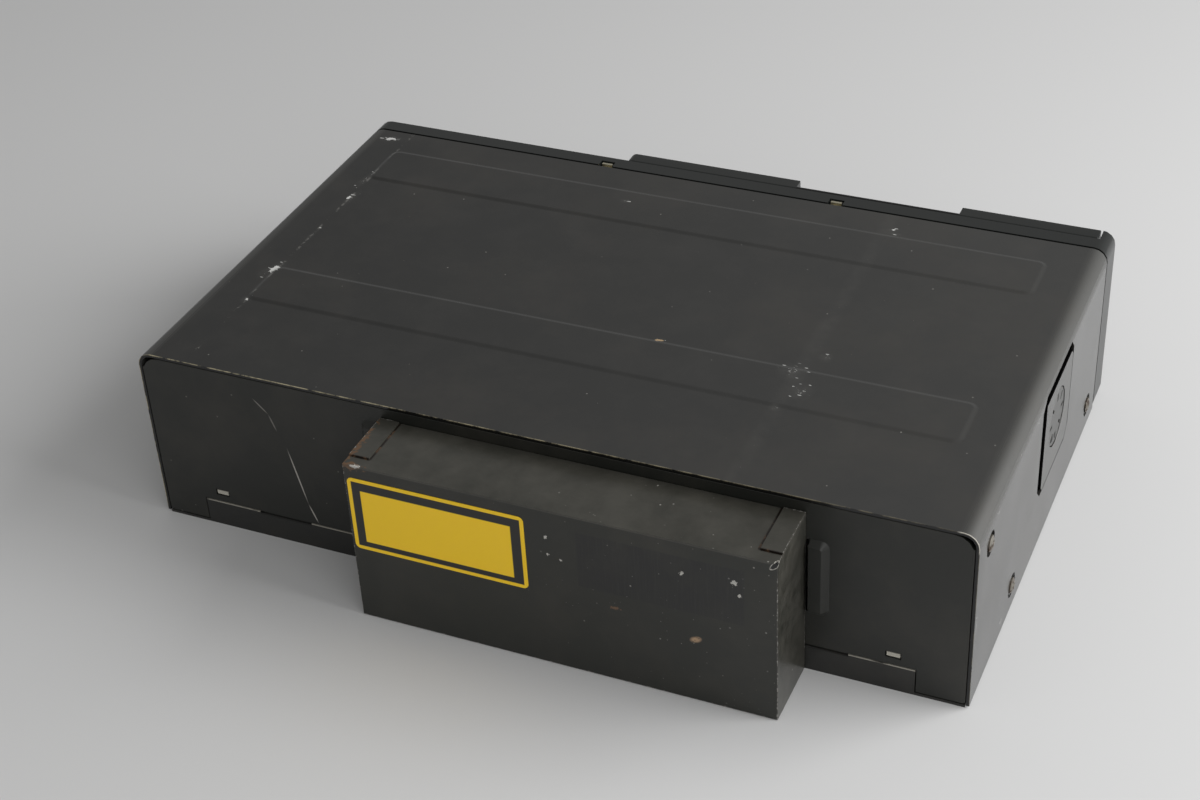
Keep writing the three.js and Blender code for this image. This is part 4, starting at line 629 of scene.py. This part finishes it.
# %% Connection box, glue and rust
BOX_COAT = "#1f201b"
PEELED_X = (-79.4, -26.5)
PEELED_Z = (34.5, 55.0)
TAB_WIDTH = 7.3
TAB_END = 4.5
SEAM = 0.35
RUST_SPOT = (-64.0, 24.5)

box_paint, tree, shader, place = coated("flat coat on folded steel", BOX_COAT, 0.3, lift=0.03)
face_y = box_high[1] / MM
box_x = (box_low[0] / MM, box_high[0] / MM)
box_top = box_high[2] / MM
split = add(tree, "ShaderNodeSeparateXYZ", {0: place}).outputs
residue = both(tree, band(tree, split[0], PEELED_X[0], PEELED_X[1], 0.2),
               band(tree, split[2], PEELED_Z[0], PEELED_Z[1], 0.2),
               band(tree, split[1], face_y - 0.2, face_y + 1.0, 0.1))
wipe = add(tree, "ShaderNodeMapping", {"Vector": place, "Scale": (1.0, 1.0, 0.04)}).outputs[0]
dark_glue = both(tree, residue, clouds(tree, place, 9.0, 0.1, 0.6, 0.7))
pale_streak = both(tree, residue, clouds(tree, wipe, 0.7, 0.5, 0.75, 0.3))
on_top = band(tree, split[2], box_top - 1.2, box_top + 1.0, 0.1)
seams = [both(tree, on_top, band(tree, split[0], x - SEAM, x + SEAM, 0.15),
              band(tree, split[1], rear_y, face_y - TAB_END, 0.3))
         for x in (box_x[0] + TAB_WIDTH, box_x[1] - TAB_WIDTH)]
seams += [both(tree, on_top, band(tree, split[1], face_y - TAB_END - 0.3, face_y - TAB_END + 0.4, 0.15),
               band(tree, split[0], low, low + TAB_WIDTH, 0.3))
          for low in (box_x[0], box_x[1] - TAB_WIDTH)]
seam_rust = both(tree, most(tree, seams), clouds(tree, place, 3.0, 0.5, 0.6, 0.8))
rust_spots = [patch(tree, place, (box_x[1], face_y - 10.0, box_top), (3.5, 22.0, 3.5)),
              patch(tree, place, (box_x[1], face_y, box_top), (14.0, 3.0, 5.0)),
              patch(tree, place, (-38.0, face_y, 29.0), (3.0, 2.0, 1.6))]
rusty = most(tree, [seam_rust, grains(tree, place, most(tree, rust_spots), 1.2, 0.5)])
bare_rust = patch(tree, place, (RUST_SPOT[0], face_y, RUST_SPOT[1]), (2.6, 2.0, 1.5), 25)
bare_rust = add(tree, "ShaderNodeMapRange", {
    "Value": bare_rust, "From Min": 0.1, "From Max": 0.6}).outputs[0]
bare_rust = both(tree, bare_rust, clouds(tree, place, 1.0, 0.3, 0.5))
print("connection box is", round(box_x[1] - box_x[0], 1), "mm long")

# %% [markdown]
# Chips follow the edges, where two faces of the box meet. A mask that keeps such edges compares a
# point's distances from the faces of a block. At one upper corner the paint is torn off round a notch,
# with a bare rim round it; the notch's black inside is painted shade.

# %% Connection box, specks and chips
BOX_SPECKS = [((-16.5, 50.5), 1.1), ((-16.8, 44.0), 0.9), ((-21.0, 43.0), 0.8), ((-60.0, 49.0), 1.3),
              ((-76.5, 50.0), 1.7), ((-78.0, 45.5), 1.1)]
CHIPPED_WIDE = 0.6
END_FOOT = 20.0


def rim(tree, place, low, high, width):
    """1 on the edges of the box from low to high, and 0 where width ends. Low and high are in metres."""
    middle = [(a + b) / 2 for a, b in zip(low, high)]
    half = [(b - a) / 2 for a, b in zip(low, high)]
    local = add(tree, "ShaderNodeVectorMath", {0: place, 1: middle}, operation="SUBTRACT")
    size = add(tree, "ShaderNodeVectorMath", {0: local.outputs[0]}, operation="ABSOLUTE")
    inside = add(tree, "ShaderNodeVectorMath", {0: size.outputs[0], 1: half}, operation="SUBTRACT")
    each = add(tree, "ShaderNodeSeparateXYZ", {0: inside.outputs[0]}).outputs
    larger = add(tree, "ShaderNodeMath", {0: each[0], 1: each[1]}, operation="MAXIMUM").outputs[0]
    smaller = add(tree, "ShaderNodeMath", {0: each[0], 1: each[1]}, operation="MINIMUM").outputs[0]
    second = add(tree, "ShaderNodeMath", {0: larger, 1: each[2]}, operation="MINIMUM").outputs[0]
    edge = add(tree, "ShaderNodeMath", {0: smaller, 1: second}, operation="MAXIMUM").outputs[0]
    return add(tree, "ShaderNodeMapRange", {
        "Value": edge, "From Min": -width * MM, "From Max": 0.0}).outputs[0]


spots = [patch(tree, place, (x, face_y, z), (r, 2.0, r)) for (x, z), r in BOX_SPECKS]
spots.append(patch(tree, place, (47.0, face_y, box_top - 0.5), (3.0, 1.6, 1.2)))
spotted = grains(tree, place, most(tree, spots), 0.5, 0.6)
chipped = grains(tree, place, rim(tree, place, box_low, box_high, CHIPPED_WIDE), 1.0, 0.3)
right_half = add(tree, "ShaderNodeMapRange", {
    "Value": split[0], "From Min": 0.01, "From Max": -0.05}).outputs[0]
end_face = band(tree, split[0], -FAR, box_x[0] + 0.3, 0.2)
speckled = both(tree, most(tree, [right_half, end_face]), clouds(tree, place, 11.0, 0.42, 0.6),
                most(tree, [flecks(tree, place, 4.3, 0.3, 0.6), flecks(tree, place, 2.1, 0.17, 0.5)]))
end_flecks = both(tree, end_face, band(tree, split[2], 0.0, END_FOOT, 8.0),
                  flecks(tree, place, 3.0, 0.45))
torn = patch(tree, place, (box_x[0] + 0.9, face_y, box_top - 1.5), (3.0, 2.6, 1.2), 50)
# painted shade: the notch's inside is painted near black; its rim is bare metal
notch, notch_rim = [
    add(tree, "ShaderNodeMapRange", {"Value": torn, "From Min": start, "From Max": start + 0.08}).outputs[0]
    for start in (0.4, 0.22)]
notch_rim = both(tree, notch_rim, clouds(tree, place, 1.6, 0.4, 0.5, 0.9))
print("single specks on the box:", len(BOX_SPECKS))

# %% [markdown]
# The colours are laid over the coat from the lowest up: uneven dust first, with the end face and the
# top painted paler as painted light, then glue, seams and rust, then what shines, and the painted
# shade of the notch last.

# %% Connection box, colours
lay(tree, shader, BOX_COAT, [
    (clouds(tree, place, 25.0, 0.45, 0.8, 0.25), "#47423a"),
    # painted reflection: the end face is painted paler, with a mottle, for the floor it reflects
    (both(tree, end_face, clouds(tree, place, 5.0, 0.25, 0.7, 0.5)), "#5a5852"),
    # painted light: the top is painted paler, with a mottle, for the light from above
    (both(tree, on_top, clouds(tree, place, 14.0, 0.1, 0.7, 0.55)), "#55534d"),
    (dark_glue, "#111114"),
    (pale_streak, "#3b3a37"),
    (most(tree, seams), "#17110c"),
    (rusty, "#5d4632"),
    (bare_rust, "#a5886a"),
    (most(tree, [spotted, speckled, end_flecks]), "#b4b2ac"),
    (chipped, "#7a7874"),
    (notch_rim, "#b3b0a8"),
    (notch, "#060606")])
dress(box_paint, "connection_box")
print("shader nodes of the box:", len(tree.nodes))

# %% [markdown]
# The bezel, door and eject button are moulded in ABS with a fine spark-eroded grain, which keeps them
# matt. A mould grain is about a quarter of a millimetre wide. Moulded edges are always a little round,
# because a sharp inner corner would be hard to cut into the mould.

# %% Moulded front
MOULD_ROUND = 0.4
MOULD_GRAIN = 0.25
PIT_STRENGTH = 0.12
PIT_DEPTH = 0.04
CHARCOAL = "#1d1f1e"


def moulded(name, colour, roughness, ior=1.54):
    """Plastic from a grained mould."""
    material, tree, shader, place = finish(name, colour, roughness=roughness, ior=ior)
    pits = add(tree, "ShaderNodeTexVoronoi", {"Vector": place, "Scale": 1.0 / (MOULD_GRAIN * MM)})
    bump = add(tree, "ShaderNodeBump", {
        "Height": pits.outputs["Distance"], "Strength": PIT_STRENGTH, "Distance": PIT_DEPTH * MM})
    tree.links.new(bump.outputs[0], shader.inputs["Normal"])
    return material, tree, shader, place


for name in ("front_bezel", "door", "eject_button"):
    piece = merged_copy(name)
    round_creases(piece, 40, MOULD_ROUND, 2)
    print(name, "has faces:", smooth_bends(piece, 35))
charcoal, _, _, _ = moulded("grained ABS, charcoal", CHARCOAL, 0.3)
dress(charcoal, "front_bezel")
black_abs, _, _, _ = moulded("grained ABS, black", "#1b1b1b", 0.4)
dress(black_abs, "eject_button", "bus_socket", "power_socket", "clamp_puck")
grey_abs, _, _, _ = moulded("grained ABS, grey", "#6a6a6c", 0.45)
dress(grey_abs, "magazine_shell", *["tray_%d" % number for number in range(1, 7)])

# %% [markdown]
# The door is the same plastic. The finger recess between its two raised blocks is painted near black
# inside, as painted shade.

# %% Door
RECESS_X = (-87.4, -27.5)
RECESS_FOOT = 50.0
RECESS_DEPTH = 0.4
RECESS_SOFT = 0.1

door_low, door_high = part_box("door")
door_abs, tree, shader, place = moulded("grained ABS, charcoal, door", CHARCOAL, 0.3)
split = add(tree, "ShaderNodeSeparateXYZ", {0: place}).outputs
# painted shade: the recess is painted near black
recess = both(tree, band(tree, split[0], RECESS_X[0], RECESS_X[1], RECESS_SOFT),
              band(tree, split[2], RECESS_FOOT, 99.0, RECESS_SOFT),
              band(tree, split[1], door_low[1] / MM + RECESS_DEPTH, FAR, RECESS_SOFT))
lay(tree, shader, CHARCOAL, [(recess, "#0b0b0b")])
dress(door_abs, "door")
print("door is", round((door_high[2] - door_low[2]) / MM, 1), "mm high")

# %% [markdown]
# In each side window stands a blackened plate with a dial that sets the springs for a flat or an
# upright changer. Only their outermost faces catch the light. What lies deeper is painted black with no
# shine, as painted shade, and so are the plate's rear and upper borders, for the shaded gap there. Its
# face is cut there, so that the border can have the other material. A thin scribed line on the plate
# shows where the dial has to point.

# %% Side adjusters
MARK_FROM = (-37.0, 55.6)
MARK_TO = (-34.6, 46.1)
DEEP_FROM = 0.4
SHADED_BORDER_Y = -5.8
SHADED_BORDER_Z = 56.5
EDGE_ROUND = 0.15
BLACKENED = "#262624"

# painted shade: black with no shine, for the deep faces and the shaded gap at the plate's borders
gap_shade, _, gap_shade_shader, _ = finish("painted shade in gaps", "#070707", roughness=1.0)
gap_shade_shader.inputs["Specular IOR Level"].default_value = 0.0


def split_face(piece, axis, place):
    """Cuts a piece's faces along one plane, in mm, so that each side can have its own material."""
    pick(piece)
    bpy.ops.object.mode_set(mode="EDIT")
    bpy.ops.mesh.select_all(action="SELECT")
    bpy.ops.mesh.bisect(plane_co=[place * MM if i == axis else 0.0 for i in range(3)],
                        plane_no=[1.0 if i == axis else 0.0 for i in range(3)])
    bpy.ops.object.mode_set(mode="OBJECT")


for hand, side in ((-1, "right"), (1, "left")):
    plate_low, plate_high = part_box("adjuster_plate_" + side)
    dial_low, dial_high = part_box("adjuster_dial_" + side)
    outer = (plate_low[0] if hand < 0 else plate_high[0]) / MM * hand
    dial_outer = (dial_low[0] if hand < 0 else dial_high[0]) / MM * hand
    for name, face in (("adjuster_plate_" + side, outer), ("adjuster_dial_" + side, dial_outer)):
        piece = merged_copy(name)
        if face == outer:
            split_face(piece, 1, SHADED_BORDER_Y)
            split_face(piece, 2, SHADED_BORDER_Z)
        round_creases(piece, 50, EDGE_ROUND, 1)
        smooth_bends(piece, 35)
        piece.data.materials.append(gap_shade)
        # the deep faces and the rear and upper borders get the painted shade
        for polygon in piece.data.polygons:
            middle = polygon.center / MM
            if middle.x * hand < face - DEEP_FROM or middle.y > SHADED_BORDER_Y or middle.z > SHADED_BORDER_Z:
                polygon.material_index = 1
    blackened, tree, shader, place = coated("blackened steel plate, " + side, BLACKENED, 0.22, lift=0.02)
    along_y, along_z = MARK_TO[0] - MARK_FROM[0], MARK_TO[1] - MARK_FROM[1]
    mark = patch(tree, place,
                 (outer * hand, (MARK_FROM[0] + MARK_TO[0]) / 2, (MARK_FROM[1] + MARK_TO[1]) / 2),
                 (1.0, 0.3, math.hypot(along_y, along_z) / 2),
                 -math.degrees(math.atan2(along_y, along_z)), axis=0)
    mark = add(tree, "ShaderNodeMapRange", {
        "Value": mark, "From Min": 0.1, "From Max": 0.4, "To Max": 0.6}).outputs[0]
    lay(tree, shader, BLACKENED, [
        (clouds(tree, place, 8.0, 0.45, 0.8, 0.3), "#5a574f"),
        (mark, "#101010")])
    dress(blackened, "adjuster_plate_" + side)
    dial_abs, _, _, _ = moulded("moulded nylon dial, " + side, "#2b2b29", 0.3)
    dress(dial_abs, "adjuster_dial_" + side)
print("adjusters:", [n for n in copies if "adjuster" in n])

# %% [markdown]
# The six side screws are zinc-plated steel gone brown with damp. Zinc turns dull first, and rust comes
# through where a driver slipped.

# %% Cover screws
OLD_ZINC = "#8b877e"
SCREWS = ["cover_screw_%d" % number for number in range(1, 7)]

old_zinc, tree, shader, place = finish("zinc-plated steel, rusting", OLD_ZINC, metallic=0.8, roughness=0.42)
lay(tree, shader, OLD_ZINC, [(clouds(tree, place, 2.0, 0.42, 0.58), "#4a3a2e")])
for name in SCREWS:
    smooth_bends(merged_copy(name), 50)
dress(old_zinc, *SCREWS)
print("screws:", len(SCREWS))

# %% [markdown]
# Inside, the sheet parts are zinc-plated steel. The plating of the front frame is the yellow kind,
# which is why its two tongues look warm and pale in the bezel's notches. Zinc plate has an uneven, half
# dull gloss. Ground rods and motor cans shine with sharp highlights, acetal is milky, brass is warm, and
# soft black rubber swallows the light. Round pieces get smooth copies.

# %% Inner finishes
DAMPERS = ["damper_%d" % number for number in range(1, 5)]
ROUND_PIECES = ["lift_gear", "motor_pinion", "turntable", "clamp_puck", "spindle_motor", "sled_motor",
                "lift_motor", "lead_screw", "guide_rod_1", "guide_rod_2", "clamp_pin", "door_hinge_pin",
                *DAMPERS, "suspension_spring_right", "suspension_spring_left", "bus_socket",
                "pickup_sled"]
for name in ROUND_PIECES:
    smooth_bends(merged_copy(name), 38)


def plated(name, colour):
    """Zinc plate on sheet steel, with the uneven gloss that plating has."""
    material, tree, shader, place = finish(name, colour, metallic=1.0, roughness=0.38)
    uneven = clouds(tree, place, 6.0, 0.3, 0.7)
    rough = add(tree, "ShaderNodeMapRange", {"Value": uneven, "To Min": 0.3, "To Max": 0.45}).outputs[0]
    tree.links.new(rough, shader.inputs["Roughness"])
    return material


dress(plated("zinc-plated sheet steel", "#a5a7a9"), "inner_chassis", "deck_plate", "tray_puller",
      "lift_slide", "clamp_arm", "magazine_shelf")
dress(plated("yellow zinc-plated sheet steel", "#e2dcc6"), "front_frame")
bright, _, _, _ = finish("ground bright steel", "#c8c9ca", metallic=1.0, roughness=0.2)
dress(bright, "door_hinge_pin", "suspension_spring_right", "suspension_spring_left", "guide_rod_1",
      "guide_rod_2", "lead_screw", "clamp_pin", "spindle_motor", "sled_motor", "lift_motor")
acetal, _, _, _ = finish("moulded white acetal", "#dcdcd5", roughness=0.35, ior=1.48)
dress(acetal, "lift_gear", "ejector", "turntable")
brass, _, _, _ = finish("turned brass", "#c8a45a", metallic=1.0, roughness=0.28)
dress(brass, "motor_pinion")
rubber, _, _, _ = finish("moulded black rubber", "#151515", roughness=0.7, ior=1.52)
dress(rubber, *DAMPERS)
sled, _, _, _ = finish("die-cast and moulded sled", "#3a3a3c", roughness=0.45)
dress(sled, "pickup_sled")
print("round pieces with a copy:", len(ROUND_PIECES))

# %% [markdown]
# A circuit board is green laminate with black chips on it. The solid is one body, so the height of a
# point tells which it is: what stands above the board is a part.

# %% Boards
LAMINATE = "#23522f"

for name, thickness in (("main_board", 1.6), ("switch_board", None), ("interface_board", None)):
    board_low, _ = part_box(name)
    laminate, tree, shader, place = finish("green board laminate, " + name, LAMINATE, roughness=0.35,
                                           ior=1.55)
    if thickness:
        split = add(tree, "ShaderNodeSeparateXYZ", {0: place}).outputs
        parts = band(tree, split[2], board_low[2] / MM + thickness, FAR, 0.05)
        lay(tree, shader, LAMINATE, [(parts, "#161616")])
    dress(laminate, name)
bare = [n for n, o in nodes.items() if not o.material_slots or
        o.material_slots[0].material is None or not o.material_slots[0].material.use_nodes]
print("solids still without a finish:", bare)

# %% [markdown]
# A yellow vinyl sticker with a dark border sits on the left of the box's rear face. It is blank here.
# It starts as a thin block, and its four upright corners are rounded with a bevel.

# %% Blank sticker
STICKER_X = (-9.5, 50.4)
STICKER_Z = (28.3, 56.0)
STICKER_THICK = 0.15
STICKER_CORNER = 1.8
BORDER_FROM = 1.3
FIELD_X = (STICKER_X[0] + 4.6, STICKER_X[1] - 4.2)
FIELD_Z = (STICKER_Z[0] + 3.3, STICKER_Z[1] - 4.5)
PRINT_SOFT = 0.1
YELLOW = "#f9cd16"

bpy.ops.object.select_all(action="DESELECT")
bpy.ops.mesh.primitive_cube_add(size=1.0, location=(
    sum(STICKER_X) / 2 * MM, (face_y + STICKER_THICK / 2) * MM, sum(STICKER_Z) / 2 * MM),
    scale=((STICKER_X[1] - STICKER_X[0]) * MM, STICKER_THICK * MM, (STICKER_Z[1] - STICKER_Z[0]) * MM))
sticker = bpy.context.object
sticker.name = "blank_sticker"
bpy.ops.object.transform_apply(location=True, rotation=True, scale=True)
scene.tool_settings.mesh_select_mode = (False, True, False)
bpy.ops.object.mode_set(mode="EDIT")
bpy.ops.mesh.select_all(action="DESELECT")
bpy.ops.object.mode_set(mode="OBJECT")
for edge in sticker.data.edges:
    a, b = (sticker.data.vertices[v].co for v in edge.vertices)
    edge.select = abs(a.y - b.y) > STICKER_THICK * MM / 2
bpy.ops.object.mode_set(mode="EDIT")
bpy.ops.mesh.bevel(offset=STICKER_CORNER * MM, segments=6)
bpy.ops.object.mode_set(mode="OBJECT")
vinyl, tree, shader, place = finish("printed yellow vinyl", YELLOW, roughness=0.32, ior=1.5)
split = add(tree, "ShaderNodeSeparateXYZ", {0: place}).outputs
outer = both(tree, band(tree, split[0], STICKER_X[0] + BORDER_FROM, STICKER_X[1] - BORDER_FROM, PRINT_SOFT),
             band(tree, split[2], STICKER_Z[0] + BORDER_FROM, STICKER_Z[1] - BORDER_FROM, PRINT_SOFT))
inner = both(tree, band(tree, split[0], FIELD_X[0], FIELD_X[1], PRINT_SOFT),
             band(tree, split[2], FIELD_Z[0], FIELD_Z[1], PRINT_SOFT))
border = add(tree, "ShaderNodeMath", {0: outer, 1: inner}, operation="SUBTRACT").outputs[0]
lay(tree, shader, YELLOW, [(border, "#1d1c1a")])
sticker.data.materials.append(vinyl)
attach(sticker, "case")
print("sticker corners:", len(sticker.data.vertices))
